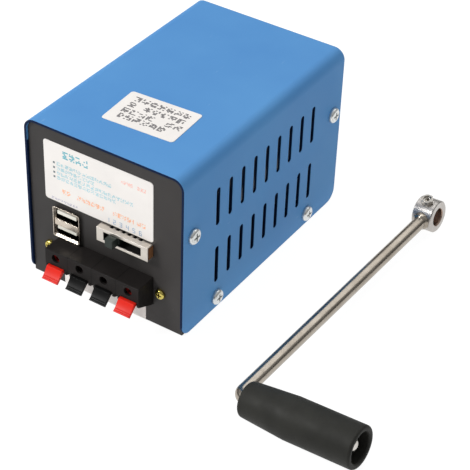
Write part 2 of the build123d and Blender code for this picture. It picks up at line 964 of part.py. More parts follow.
def bracket_floor_places():
    """X and Y of the brackets' screws in the floor."""
    y = board_y + board_thickness + bracket_foot * 0.65
    return [(-bracket_x, y), (bracket_x, y)]


def bracket_board_planes():
    """Where the board's screws seat on its front."""
    return [front_plane(x, board_y, bracket_screw_z) for x in (-bracket_x, bracket_x)]


def make_board():
    """The regulator board, upright behind the front panel."""
    with BuildPart() as board:
        with BuildSketch(front_plane(0, board_y + board_thickness, 0)):
            with Locations((0, board_bottom)):
                Rectangle(board_width, board_top - board_bottom, align=(Align.CENTER, Align.MIN))
            with Locations((-bracket_x, bracket_screw_z), (bracket_x, bracket_screw_z)):
                Circle(small_screw_d / 2 + hole_gap, mode=Mode.SUBTRACT)
            with Locations(*selector_pin_places()):
                Circle(selector_pin_d / 2 + hole_gap, mode=Mode.SUBTRACT)
            for cell in range(terminal_cells):
                with Locations((terminal_cell_x(cell), contact_tail_z())):
                    Rectangle(
                        contact_tail_width + 2 * hole_gap,
                        contact_strip + 2 * hole_gap,
                        mode=Mode.SUBTRACT,
                    )
        extrude(amount=board_thickness)
    return board


def make_board_brackets():
    """Two angle brackets that stand on the floor and hold the board."""
    back = board_y + board_thickness
    with BuildPart() as brackets:
        for x in (-bracket_x, bracket_x):
            with BuildSketch(side_plane(x - bracket_width / 2)):
                with Locations((back, sheet)):
                    Rectangle(sheet, bracket_height, align=(Align.MIN, Align.MIN))
                    Rectangle(bracket_foot, sheet, align=(Align.MIN, Align.MIN))
            extrude(amount=bracket_width)
        with BuildSketch(front_plane(0, back + sheet, bracket_screw_z)):
            with Locations((-bracket_x, 0), (bracket_x, 0)):
                Circle(small_screw_d / 2 + thread_gap)
        extrude(amount=sheet, mode=Mode.SUBTRACT)
        with BuildSketch(Plane.XY.offset(sheet)):
            with Locations(*bracket_floor_places()):
                Circle(small_screw_d / 2 + hole_gap)
        extrude(amount=sheet, mode=Mode.SUBTRACT)
    return brackets


def make_small_screws():
    """The M3 screws inside and behind: the board's, its brackets', the generator's, the housing's."""
    board_screw = cross_recess_screw(
        small_screw_head_d, small_screw_head_h, small_screw_d, board_thickness + 2 * sheet
    )
    foot_screw = cross_recess_screw(
        small_screw_head_d, small_screw_head_h, small_screw_d, 2 * sheet - 0.1
    )
    generator_screw = cross_recess_screw(
        small_screw_head_d,
        small_screw_head_h,
        small_screw_d,
        plate_thickness + generator_plate - 0.3,
    )
    housing_screw = cross_recess_screw(
        small_screw_head_d,
        small_screw_head_h,
        small_screw_d,
        housing_flange + sheet + plate_thickness,
    )
    foot_planes = [Plane.XY.offset(2 * sheet).move(Location(p)) for p in bracket_floor_places()]
    with BuildPart() as screws:
        with Locations(*bracket_board_planes()):
            add(board_screw.part)
        with Locations(*foot_planes):
            add(foot_screw.part)
        with Locations(*[rear_plane(x, front_plate_y, z) for x, z in generator_screw_places()]):
            add(generator_screw.part)
        with Locations(*housing_screw_planes()):
            add(housing_screw.part)
    return screws


def make_capacitors():
    """The board's electrolytic capacitors, lying back from it, each with a rolled groove."""
    back = board_y + board_thickness
    with BuildPart() as capacitors:
        for (d, length), (x, z) in zip(capacitor_sizes, capacitor_places):
            with BuildSketch(rear_plane(x, back, z)):
                Circle(d / 2)
            extrude(amount=length)
            with BuildSketch(rear_plane(x, back + 2.0, z)):
                Circle(d / 2)
                Circle(d / 2 - 0.5, mode=Mode.SUBTRACT)
            extrude(amount=1.0, mode=Mode.SUBTRACT)
    return capacitors


def make_inductor():
    """The ring core inductor on the board."""
    with BuildPart() as inductor:
        with BuildSketch(rear_plane(inductor_at[0], board_y + board_thickness, inductor_at[1])):
            Circle(inductor_d / 2)
            Circle(inductor_d / 2 - inductor_core, mode=Mode.SUBTRACT)
        extrude(amount=inductor_height)
        fillet(inductor.edges().group_by(Axis.Y)[-1], 1.5)
    return inductor


def make_chips():
    """The regulator's two power chips."""
    with BuildPart() as chips:
        for x, z in chip_places:
            with BuildSketch(rear_plane(x, board_y + board_thickness, z)):
                Rectangle(chip_size[0], chip_size[1])
            extrude(amount=chip_size[2])
    return chips


def make_heat_sink():
    """The finned heat sink on the board."""
    width, height = heat_sink_size
    back = board_y + board_thickness
    with BuildPart() as heat_sink:
        with BuildSketch(rear_plane(heat_sink_x, back, heat_sink_z)):
            Rectangle(width, height)
        extrude(amount=heat_sink_base)
        with BuildSketch(rear_plane(heat_sink_x, back + heat_sink_base, heat_sink_z)):
            pitch = (width - heat_sink_fin_thickness) / (heat_sink_fins - 1)
            with GridLocations(pitch, 0, heat_sink_fins, 1):
                Rectangle(heat_sink_fin_thickness, height)
        extrude(amount=heat_sink_fin)
    return heat_sink


# ---------------------------------------------------------------- gear train


def offset_place(place, angle, distance):
    """A place in X and Z at an angle and distance from another."""
    return place[0] + distance * cos(angle), place[1] + distance * sin(angle)


def centre_distance(module, teeth):
    """How far apart a gear and its pinion run."""
    return module * (teeth + pinion_teeth) / 2


input_at = (input_x, input_z)
layshaft_1_at = offset_place(
    input_at, first_angle, centre_distance(first_module, first_gear_teeth)
)
layshaft_2_at = offset_place(
    layshaft_1_at, second_angle, centre_distance(second_module, second_gear_teeth)
)
generator_at = offset_place(
    layshaft_2_at, third_angle, centre_distance(third_module, third_gear_teeth)
)


def barrel(place, y_rear, y_front, outer_r, inner_r=0.0, mode=Mode.ADD):
    """A round stretch along Y of the piece being built, with a bore or without."""
    with BuildSketch(front_plane(place[0], y_rear, place[1])) as ring:
        Circle(outer_r)
        if inner_r:
            Circle(inner_r, mode=Mode.SUBTRACT)
    extrude(ring.sketch, amount=y_rear - y_front, mode=mode)


def gear_outline(teeth, module, tooth_at):
    """Points round a gear, chords on its involute flanks, with a tooth's middle at an angle."""
    pitch_r = module * teeth / 2
    base_r = pitch_r * cos(pressure_angle)
    root_r = pitch_r - tooth_dedendum * module
    tip_r = pitch_r + tooth_addendum * module
    flank_r = max(root_r, base_r)

    def involute(r):
        roll = acos(min(1.0, base_r / r))
        return tan(roll) - roll

    half_pitch_tooth = (pi * module / 2 - tooth_backlash) / (2 * pitch_r)
    flank = []
    for r in (flank_r, (flank_r + 2 * tip_r) / 3, tip_r):
        flank.append((r, half_pitch_tooth + involute(pitch_r) - involute(r)))
    if root_r < base_r:
        flank.insert(0, (root_r, flank[0][1]))
    points = []
    for tooth in range(teeth):
        middle = tooth_at + 2 * pi * tooth / teeth
        for r, half in flank:
            points.append((r * cos(middle - half), r * sin(middle - half)))
        for r, half in reversed(flank):
            points.append((r * cos(middle + half), r * sin(middle + half)))
    return points


def toothed(place, y_rear, width, teeth, module, tooth_at, bore_r=0.0):
    """A toothed stretch along Y of the piece being built."""
    with BuildSketch(front_plane(place[0], y_rear, place[1])) as outline:
        with BuildLine():
            Polyline(*gear_outline(teeth, module, tooth_at), close=True)
        make_face()
        if bore_r:
            Circle(bore_r, mode=Mode.SUBTRACT)
    extrude(outline.sketch, amount=width)


def lighten(place, y_rear, width, rim_r, hub_r, web, holes):
    """Turns a gear's sides down to a web between its rim and hub, and drills the web."""
    for start in (y_rear, y_rear - (width + web) / 2):
        barrel(place, start, start - (width - web) / 2, rim_r, hub_r, mode=Mode.SUBTRACT)
    with BuildSketch(front_plane(place[0], y_rear, place[1])) as web_holes:
        with PolarLocations((rim_r + hub_r) / 2, holes):
            Circle((rim_r - hub_r) * 0.3)
    extrude(web_holes.sketch, amount=width, mode=Mode.SUBTRACT)


def pinion_gap_angle(angle):
    """Turns a pinion so that a gap, not a tooth, faces back along an angle."""
    return angle + pi + pi / pinion_teeth


def make_input_gear():
    """The large gear on the input shaft."""
    root_r = first_module * (first_gear_teeth / 2 - tooth_dedendum)
    with BuildPart() as gear:
        toothed(
            input_at,
            first_gear_y,
            first_gear_width,
            first_gear_teeth,
            first_module,
            first_angle,
            input_seat_d / 2,
        )
        lighten(input_at, first_gear_y, first_gear_width, root_r - 2.5, 9.0, 2.5, 6)
    return gear


def layshaft(place, body_r, journal_r, pinion_y, pinion_width, module, pinion_angle):
    """A layshaft turned and cut from one bar: two journals, a body and its pinion."""
    front_shoulder = front_plate_y + bush_flange + shaft_play
    rear_shoulder = rear_plate_y - bush_flange - shaft_play
    with BuildPart() as shaft:
        barrel(place, rear_shoulder, front_shoulder, body_r)
        barrel(place, rear_inner_y - shaft_play, gearbox_front_y + shaft_play, journal_r)
        toothed(
            place,
            pinion_y + pinion_extra,
            pinion_width + 2 * pinion_extra,
            pinion_teeth,
            module,
            pinion_angle,
        )
    return shaft


def make_layshaft_1():
    """The first layshaft, whose pinion meets the input gear."""
    return layshaft(
        layshaft_1_at,
        layshaft_d[0] / 2,
        layshaft_journal_d[0] / 2,
        first_gear_y,
        first_gear_width,
        first_module,
        pinion_gap_angle(first_angle),
    )


def make_layshaft_1_gear():
    """The gear pressed on the first layshaft."""
    root_r = second_module * (second_gear_teeth / 2 - tooth_dedendum)
    with BuildPart() as gear:
        toothed(
            layshaft_1_at,
            second_gear_y,
            second_gear_width,
            second_gear_teeth,
            second_module,
            second_angle,
            layshaft_d[0] / 2,
        )
        lighten(layshaft_1_at, second_gear_y, second_gear_width, root_r - 2.0, 6.5, 2.0, 5)
    return gear


def make_layshaft_2():
    """The second layshaft, whose pinion meets the first layshaft's gear."""
    return layshaft(
        layshaft_2_at,
        layshaft_d[1] / 2,
        layshaft_journal_d[1] / 2,
        second_gear_y,
        second_gear_width,
        second_module,
        pinion_gap_angle(second_angle),
    )


def make_layshaft_2_gear():
    """The gear pressed on the second layshaft."""
    with BuildPart() as gear:
        toothed(
            layshaft_2_at,
            third_gear_y,
            third_gear_width,
            third_gear_teeth,
            third_module,
            third_angle,
            layshaft_d[1] / 2,
        )
    return gear


def pillar_places():
    """X and Z of the four pillars between the plates."""
    x = plate_width / 2 - pillar_inset
    low = plate_bottom + pillar_inset
    high = plate_top - pillar_inset
    return [(-x, low), (x, low), (-x, high), (x, high)]


def bush_r(journal_d):
    """Outside radius of a bush's sleeve."""
    return journal_d / 2 + running_gap + bush_wall


def plate_blank(y_rear):
    """A gearbox plate with its pillar and layshaft holes, in the piece being built."""
    with BuildSketch(front_plane(0, y_rear, (plate_bottom + plate_top) / 2)) as outline:
        RectangleRounded(plate_width, plate_top - plate_bottom, plate_corner)
    extrude(outline.sketch, amount=plate_thickness)
    with BuildSketch(front_plane(0, y_rear, 0)) as holes:
        with Locations(*pillar_places()):
            Circle(pillar_screw_d / 2 + hole_gap)
        with Locations(layshaft_1_at):
            Circle(bush_r(layshaft_journal_d[0]))
        with Locations(layshaft_2_at):
            Circle(bush_r(layshaft_journal_d[1]))
    extrude(holes.sketch, amount=plate_thickness, mode=Mode.SUBTRACT)


def make_rear_plate():
    """The gearbox plate against the rear panel."""
    with BuildPart() as plate:
        plate_blank(rear_inner_y)
        with BuildSketch(front_plane(input_x, rear_inner_y, input_z)):
            Circle(housing_boss_d / 2 + hole_gap)
            with PolarLocations(housing_pcd / 2, housing_screws, start_angle=45):
                Circle(small_screw_d / 2 + thread_gap)
        extrude(amount=plate_thickness, mode=Mode.SUBTRACT)
    return plate


def generator_screw_places():
    """X and Z of the generator's screws in the gearbox front plate."""
    places = []
    for screw in range(generator_screws):
        angle = third_angle + 2 * pi * screw / generator_screws
        places.append(offset_place(generator_at, angle, generator_screw_pcd / 2))
    return places


def make_front_plate():
    """The gearbox plate that carries the generator."""
    with BuildPart() as plate:
        plate_blank(front_plate_y)
        with BuildSketch(front_plane(0, front_plate_y, 0)):
            with Locations(input_at):
                Circle(bush_r(input_journal_d))
            with Locations(generator_at):
                Circle(generator_boss_d / 2 + hole_gap)
            with Locations(*generator_screw_places()):
                Circle(small_screw_d / 2 + hole_gap)
        extrude(amount=plate_thickness, mode=Mode.SUBTRACT)
    return plate


def make_pillars():
    """The four pillars, tapped at both ends."""
    with BuildPart() as pillars:
        for place in pillar_places():
            barrel(place, rear_plate_y, front_plate_y, pillar_d / 2)
            tapped_r = pillar_screw_d / 2 + thread_gap
            barrel(
                place, rear_plate_y, rear_plate_y - pillar_thread, tapped_r, mode=Mode.SUBTRACT
            )
            barrel(
                place, front_plate_y + pillar_thread, front_plate_y, tapped_r, mode=Mode.SUBTRACT
            )
    return pillars


def make_gearbox_screws():
    """Four screws through the rear panel and four through the front plate, into the pillars."""
    grip_length = plate_thickness + pillar_thread - 1.0
    rear_screw = cross_recess_screw(
        pillar_screw_head_d, pillar_screw_head_h, pillar_screw_d, sheet + grip_length
    )
    front_screw = cross_recess_screw(
        pillar_screw_head_d, pillar_screw_head_h, pillar_screw_d, grip_length
    )
    with BuildPart() as screws:
        with Locations(*[rear_plane(x, rear_y, z) for x, z in pillar_places()]):
            add(rear_screw.part)
        with Locations(*[front_plane(x, gearbox_front_y, z) for x, z in pillar_places()]):
            add(front_screw.part)
    return screws


def make_bushes():
    """Flanged bushes: two for each layshaft and one for the input shaft's journal."""
    with BuildPart() as bushes:
        for place, journal_d in (
            (layshaft_1_at, layshaft_journal_d[0]),
            (layshaft_2_at, layshaft_journal_d[1]),
        ):
            bore = journal_d / 2 + running_gap
            lip = bush_r(journal_d) + bush_flange_lip
            barrel(place, rear_inner_y, rear_plate_y, bush_r(journal_d), bore)
            barrel(place, rear_plate_y, rear_plate_y - bush_flange, lip, bore)
        for place, journal_d in (
            (layshaft_1_at, layshaft_journal_d[0]),
            (layshaft_2_at, layshaft_journal_d[1]),
            (input_at, input_journal_d),
        ):
            bore = journal_d / 2 + running_gap
            lip = bush_r(journal_d) + bush_flange_lip
            barrel(place, front_plate_y, gearbox_front_y, bush_r(journal_d), bore)
            barrel(place, front_plate_y + bush_flange, front_plate_y, lip, bore)
    return bushes


# ---------------------------------------------------------------- input shaft

housing_end_y = rear_y + housing_boss
bearing_rear_y = housing_end_y - bearing_inset
bearing_front_y = bearing_rear_y - bearing_width
bearing_middle_y = (bearing_rear_y + bearing_front_y) / 2
bearing_ball_r = bearing_ball_d / 2
ball_circle_r = (bearing_od / 2 + input_d / 2) / 2
input_end_y = housing_end_y + input_free_length


def make_input_shaft():
    """The input shaft: free end with its flat, groove, shoulder, gear seat and front journal."""
    journal_y = front_plate_y + bush_flange + shaft_play
    with BuildPart() as shaft:
        barrel(input_at, input_end_y, bearing_front_y, input_d / 2)
        chamfer(shaft.edges().group_by(Axis.Y)[-1], 0.8)
        barrel(input_at, bearing_front_y, first_gear_y, input_shoulder_d / 2)
        barrel(input_at, first_gear_y, journal_y, input_seat_d / 2)
        barrel(input_at, journal_y, gearbox_front_y + shaft_play, input_journal_d / 2)
        groove_end = bearing_rear_y + circlip_thickness
        barrel(
            input_at,
            groove_end,
            bearing_rear_y,
            input_d / 2 + 1.0,
            input_d / 2 - circlip_groove,
            mode=Mode.SUBTRACT,
        )
        with BuildSketch(
            front_plane(input_x, input_end_y, input_z + input_d / 2 - input_flat_depth)
        ):
            Rectangle(input_d, input_d, align=(Align.CENTER, Align.MIN))
        extrude(amount=input_flat_length, mode=Mode.SUBTRACT)
    return shaft


def make_circlip():
    """The circlip that keeps the bearing's inner ring on the shaft."""
    inner = input_d / 2 - circlip_groove
    with BuildPart() as circlip:
        barrel(
            input_at,
            bearing_rear_y + circlip_thickness,
            bearing_rear_y,
            inner + circlip_groove + circlip_width,
            inner,
        )
        with BuildSketch(front_plane(input_x, bearing_rear_y + circlip_thickness, input_z)):
            Rectangle(2.4, input_d, align=(Align.CENTER, Align.MIN))
        extrude(amount=circlip_thickness, mode=Mode.SUBTRACT)
    return circlip


def bearing_ring_part(outer_r, inner_r):
    """One ring of the ball bearing, with the balls' groove."""
    with BuildPart() as ring:
        barrel(input_at, bearing_rear_y, bearing_front_y, outer_r, inner_r)
        with BuildSketch(side_plane(input_x)):
            with Locations((bearing_middle_y, input_z + ball_circle_r)):
                Circle(bearing_ball_r + bearing_ball_gap)
        revolve(axis=Axis((input_x, 0, input_z), (0, 1, 0)), mode=Mode.SUBTRACT)
    return ring


def make_bearing_balls():
    """The bearing's balls."""
    places = []
    for ball in range(bearing_balls):
        x, z = offset_place(input_at, 2 * pi * ball / bearing_balls, ball_circle_r)
        places.append((x, bearing_middle_y, z))
    with BuildPart() as balls:
        with Locations(*places):
            Sphere(bearing_ball_r)
    return balls


def make_bearing_housing():
    """The flanged housing behind the rear panel, its spigot reaching through panel and plate."""
    spigot_front = rear_plate_y
    with BuildPart() as housing:
        barrel(input_at, housing_end_y, spigot_front, housing_boss_d / 2)
        chamfer(housing.edges().group_by(Axis.Y)[-1], 1.0)
        barrel(input_at, rear_y + housing_flange, rear_y, housing_flange_d / 2)
        barrel(input_at, bearing_rear_y, spigot_front, bearing_od / 2, mode=Mode.SUBTRACT)
        barrel(
            input_at, housing_end_y, bearing_rear_y, housing_lip_d / 2, mode=Mode.SUBTRACT
        )
        with BuildSketch(front_plane(input_x, rear_y + housing_flange, input_z)):
            with PolarLocations(housing_pcd / 2, housing_screws, start_angle=45):
                Circle(small_screw_d / 2 + hole_gap)
        extrude(amount=housing_flange, mode=Mode.SUBTRACT)
    return housing


def housing_screw_planes():
    """Where the bearing housing's screws seat on its flange."""
    places = []
    for number in range(housing_screws):
        angle = radians(45) + 2 * pi * number / housing_screws
        x, z = offset_place(input_at, angle, housing_pcd / 2)
        places.append(rear_plane(x, rear_y + housing_flange, z))
    return places


# ---------------------------------------------------------------- generator

end_plate_front_y = gearbox_front_y - generator_plate
can_front_y = gearbox_front_y - generator_length
can_inner_y = can_front_y + generator_wall
can_inner_r = generator_d / 2 - generator_wall
cup_depth = rotor_bearing_width + 0.4
winding_middle_y = (end_plate_front_y + can_inner_y) / 2
front_cup_y = can_inner_y - cup_depth


def make_generator_can():
    """The generator's drawn steel can, with a cup for the front bearing."""
    with BuildPart() as can:
        barrel(generator_at, end_plate_front_y, can_front_y, generator_d / 2)
        fillet(can.edges().group_by(Axis.Y)[0], 2.0)
        barrel(generator_at, can_front_y, front_cup_y - generator_wall, generator_boss_d / 2)
        barrel(generator_at, end_plate_front_y, can_inner_y, can_inner_r, mode=Mode.SUBTRACT)
        barrel(
            generator_at,
            can_inner_y,
            front_cup_y,
            rotor_bearing_d / 2,
            mode=Mode.SUBTRACT,
        )
    return can


def make_generator_end_plate():
    """The generator's end plate, whose boss centres it in the gearbox plate."""
    seat_end = end_plate_front_y + cup_depth
    with BuildPart() as plate:
        barrel(generator_at, gearbox_front_y, end_plate_front_y, generator_d / 2)
        barrel(generator_at, front_plate_y, gearbox_front_y, generator_boss_d / 2)
        barrel(
            generator_at, seat_end, end_plate_front_y, rotor_bearing_d / 2, mode=Mode.SUBTRACT
        )
        barrel(
            generator_at, front_plate_y, seat_end, rotor_shaft_d / 2 + 0.5, mode=Mode.SUBTRACT
        )
        with BuildSketch(front_plane(0, gearbox_front_y, 0)):
            with Locations(*generator_screw_places()):
                Circle(small_screw_d / 2 + thread_gap)
        extrude(amount=generator_plate, mode=Mode.SUBTRACT)
    return plate


def make_stator():
    """The stator's laminated core, with its teeth and their shoes."""
    back_r = can_inner_r - stator_back
    bore_r = stator_bore_d / 2
    tooth_length = back_r - bore_r
    with BuildPart() as stator:
        with BuildSketch(
            front_plane(generator_at[0], winding_middle_y + stator_length / 2, generator_at[1])
        ):
            Circle(can_inner_r)
            Circle(back_r, mode=Mode.SUBTRACT)
            with PolarLocations(bore_r + tooth_length / 2, stator_slots):
                Rectangle(tooth_length + 1.0, stator_tooth)
            Circle(bore_r + stator_shoe)
            with PolarLocations(bore_r, stator_slots, start_angle=180 / stator_slots):
                Rectangle(3 * stator_shoe, stator_shoe_opening, mode=Mode.SUBTRACT)
            Circle(bore_r, mode=Mode.SUBTRACT)
        extrude(amount=stator_length)
    return stator


def make_stator_coils():
    """One coil round each tooth of the stator."""
    inside = (stator_tooth + 2 * coil_gap, stator_length + 2 * coil_gap)
    outside = (inside[0] + 2 * coil_thickness, inside[1] + 2 * coil_thickness)
    start_r = stator_bore_d / 2 + stator_shoe + coil_gap
    end_r = sqrt((can_inner_r - stator_back - coil_gap) ** 2 - (outside[0] / 2) ** 2)
    with BuildPart() as coils:
        for slot in range(stator_slots):
            angle = 2 * pi * slot / stator_slots
            x, z = offset_place(generator_at, angle, start_r)
            plane = Plane(
                origin=(x, winding_middle_y, z),
                x_dir=(-sin(angle), 0, cos(angle)),
                z_dir=(cos(angle), 0, sin(angle)),
            )
            with BuildSketch(plane):
                RectangleRounded(*outside, coil_thickness)
                Rectangle(*inside, mode=Mode.SUBTRACT)
            extrude(amount=end_r - start_r)
    return coils


def make_rotor_magnet():
    """The rotor's magnet."""
    with BuildPart() as magnet:
        barrel(
            generator_at,
            winding_middle_y + rotor_length / 2,
            winding_middle_y - rotor_length / 2,
            rotor_d / 2,
            rotor_shaft_d / 2,
        )
    return magnet


def make_rotor_shaft():
    """The generator's shaft, from its front bearing to the pinion cut on its rear end."""
    pinion_rear = third_gear_y + pinion_extra
    with BuildPart() as shaft:
        barrel(generator_at, pinion_rear, front_cup_y + shaft_play, rotor_shaft_d / 2)
        toothed(
            generator_at,
            pinion_rear,
            third_gear_width + 2 * pinion_extra,
            pinion_teeth,
            third_module,
            pinion_gap_angle(third_angle),
        )
    return shaft


def make_generator_bearings():
    """The generator's two plain bearings."""
    with BuildPart() as bearings:
        for start in (end_plate_front_y + cup_depth, can_inner_y):
            barrel(
                generator_at,
                start,
                start - rotor_bearing_width,
                rotor_bearing_d / 2,
                rotor_shaft_d / 2 + running_gap,
            )
    return bearings


def make_generator_leads():
    """Three leads from the generator's front to the board."""
    start_z = generator_at[1] + generator_d / 2 - 6.0
    board_back = board_y + board_thickness
    board_z = 27.0
    rise_y = can_front_y - 16.0
    drop_y = rise_y - 11.0
    with BuildPart() as leads:
        for number in range(3):
            x = generator_at[0] + (number - 1) * lead_spread
            board_x = x - 8.0
            with BuildLine():
                FilletPolyline(
                    (x, can_front_y, start_z),
                    (x, rise_y, start_z),
                    (board_x, drop_y, board_z),
                    (board_x, board_back, board_z),
                    radius=lead_bend,
                )
            with BuildSketch(front_plane(x, can_front_y, start_z)):
                Circle(lead_d / 2)
            sweep()
    return leads


# ---------------------------------------------------------------- crank

# The crank lies on its hub's rim and on the grip's tapered part, so the bores tilt by the taper
# and the arm slopes from the hub's height to the grip's.
crank_tilt = atan2(grip_r - grip_start_r, grip_taper_end - grip_start)
crank_rise = crank_hub_d / 2 * cos(crank_tilt) + crank_hub_length / 2 * sin(crank_tilt)
grip_rise = grip_start_r * cos(crank_tilt) - grip_start * sin(crank_tilt)
crank_slope = asin((crank_rise - grip_rise) / crank_arm_length)
crank_plane = Plane(
    origin=(crank_hub_x, crank_hub_y, crank_rise),
    x_dir=(
        sin(crank_heading) * cos(crank_slope),
        -cos(crank_heading) * cos(crank_slope),
        -sin(crank_slope),
    ),
    z_dir=(
        cos(crank_heading) * cos(crank_tilt),
        sin(crank_heading) * cos(crank_tilt),
        sin(crank_tilt),
    ),
)
# The same origin, with its own x along the arm and its own y along the hub's bore.
arm_plane = Plane(
    origin=crank_plane.origin, x_dir=crank_plane.x_dir, z_dir=-crank_plane.y_dir
)
rod_plane = Plane(
    origin=crank_plane.from_local_coords((crank_rod_seat, 0, 0)),
    x_dir=crank_plane.z_dir,
    z_dir=crank_plane.x_dir,
)
grip_axis = Axis(
    crank_plane.from_local_coords((crank_arm_length, 0, 0)), crank_plane.z_dir
)
recess_floor = grip_end - grip_recess_depth
spindle_shoulder = recess_floor + shaft_play
hub_bore_r = input_d / 2 + crank_bore_gap


def grip_plane(along):
    """A plane across the grip's axis, this far from the arm's middle."""
    return Plane(
        origin=crank_plane.from_local_coords((crank_arm_length, 0, along)),
        x_dir=crank_plane.x_dir,
        z_dir=crank_plane.z_dir,
    )


def set_screw_plane(height):
    """A plane facing out of the hub at the set screw, this far from the bore's axis."""
    across, up = sin(set_screw_lean), cos(set_screw_lean)
    return Plane(
        origin=crank_plane.from_local_coords((height * across, -height * up, set_screw_offset)),
        x_dir=crank_plane.z_dir,
        z_dir=crank_plane.x_dir * across - crank_plane.y_dir * up,
    )


spot_face_r = crank_hub_d / 2 - spot_face_depth


def make_crank_hub():
    """The hub: its bore takes the input shaft, with a seat for the rod and a tapped hole."""
    with BuildPart() as hub:
        with BuildSketch(crank_plane.offset(-crank_hub_length / 2)):
            Circle(crank_hub_d / 2)
            Circle(hub_bore_r, mode=Mode.SUBTRACT)
        extrude(amount=crank_hub_length)
        chamfer(hub.edges().filter_by(GeomType.CIRCLE), crank_hub_chamfer)
        with BuildSketch(set_screw_plane(spot_face_r)):
            Circle(lock_nut_flats * 0.6)
        extrude(amount=lock_nut_thickness, mode=Mode.SUBTRACT)
        with BuildSketch(set_screw_plane(0)):
            Circle(set_screw_d / 2 + thread_gap)
        extrude(amount=crank_hub_d / 2, mode=Mode.SUBTRACT)
        with BuildSketch(rod_plane):
            Circle(crank_rod_d / 2)
        extrude(amount=crank_hub_d / 2, mode=Mode.SUBTRACT)
    return hub


def make_crank_rod():
    """The bent rod: its weld bead at the hub, the arm, a tight bend and the grip's spindle."""
    nut_depth = grip_washer_thickness + grip_nut_height
    rod_r = crank_rod_d / 2
    hub_r = crank_hub_d / 2
    with BuildPart() as rod:
        with BuildSketch(arm_plane):
            with BuildLine():
                Polyline(
                    (hub_r * 0.75, 0),
                    (hub_r + weld_rise, 0),
                    (hub_r + weld_rise, rod_r),
                    (hub_r + weld_rise * 0.45, rod_r + weld_width * 0.7),
                    (hub_r - weld_rise * 0.2, rod_r + weld_width),
                    (hub_r * 0.75, rod_r + weld_width),
                    close=True,
                )
            make_face()
        revolve(axis=Axis(crank_plane.origin, crank_plane.x_dir))
        with BuildSketch(crank_plane.offset(-crank_hub_length / 2)):
            Circle(hub_r)
        extrude(amount=crank_hub_length, mode=Mode.SUBTRACT)
        with BuildLine(arm_plane):
            FilletPolyline(
                (crank_rod_seat, 0),
                (crank_arm_length, 0),
                (crank_arm_length, spindle_shoulder),
                radius=crank_bend,
            )
        with BuildSketch(rod_plane):
            Circle(rod_r)
        sweep()
        with BuildSketch(grip_plane(spindle_shoulder)):
            Circle(spindle_thread_d / 2)
        extrude(amount=nut_depth)
    return rod


def make_set_screw():
    """The hub's socket set screw."""
    start = hub_bore_r + set_screw_end
    end = spot_face_r + lock_nut_thickness - set_screw_recess
    with BuildPart() as screw:
        with BuildSketch(set_screw_plane(start)):
            Circle(set_screw_d / 2)
        extrude(amount=end - start)
        with BuildSketch(set_screw_plane(end)):
            RegularPolygon(set_screw_socket / 2, 6, major_radius=False)
        extrude(amount=-set_screw_socket_depth, mode=Mode.SUBTRACT)
    return screw


def make_lock_nut():
    """The set screw's lock nut on the hub's spot face."""
    nut = hex_nut(lock_nut_flats, lock_nut_thickness, set_screw_d + 2 * thread_gap)
    return copies(nut, [set_screw_plane(spot_face_r)])


def make_grip():
    """The grip: a tapered handle that turns on the spindle, with a deep recess in its end."""
    bore_r = crank_rod_d / 2 + grip_bore_gap
    with BuildPart() as grip:
        with BuildSketch(arm_plane) as profile:
            with BuildLine():
                Polyline(
                    (crank_arm_length + bore_r, grip_start),
                    (crank_arm_length + grip_start_r, grip_start),
                    (crank_arm_length + grip_r, grip_taper_end),
                    (crank_arm_length + grip_r, grip_end),
                    (crank_arm_length + grip_recess_r, grip_end),
                    (crank_arm_length + grip_recess_r, recess_floor),
                    (crank_arm_length + bore_r, recess_floor),
                    close=True,
                )
            make_face()
            fillet(profile.vertices().group_by(Axis.Y)[0].sort_by(Axis.X)[-1], grip_round)
            fillet(profile.vertices().group_by(Axis.Y)[-1], grip_lip_round)
        revolve(axis=grip_axis)
    return grip


def make_grip_washer():
    """The washer between the grip and its nut."""
    with BuildPart() as washer:
        with BuildSketch(grip_plane(spindle_shoulder)):
            Circle(grip_washer_d / 2)
            Circle(spindle_thread_d / 2 + thread_gap, mode=Mode.SUBTRACT)
        extrude(amount=grip_washer_thickness)
    return washer


def make_grip_nut():
    """The domed nut on the spindle's end."""
    start = spindle_shoulder + grip_washer_thickness
    with BuildPart() as nut:
        with BuildSketch(grip_plane(start)):
            RegularPolygon(grip_nut_flats / 2, 6, major_radius=False)
        extrude(amount=grip_nut_height)
        dome_r = grip_nut_flats / 2 - 0.2
        with BuildSketch(grip_plane(start + grip_nut_height)):
            Circle(dome_r)
        extrude(amount=grip_nut_dome)
        fillet(nut.edges().filter_by(GeomType.CIRCLE).sort_by(grip_axis)[-1], grip_nut_dome * 0.9)
        with BuildSketch(grip_plane(start)):
            Circle(spindle_thread_d / 2 + thread_gap)
        extrude(amount=grip_nut_height + 0.2, mode=Mode.SUBTRACT)
    return nut


# ---------------------------------------------------------------- everything


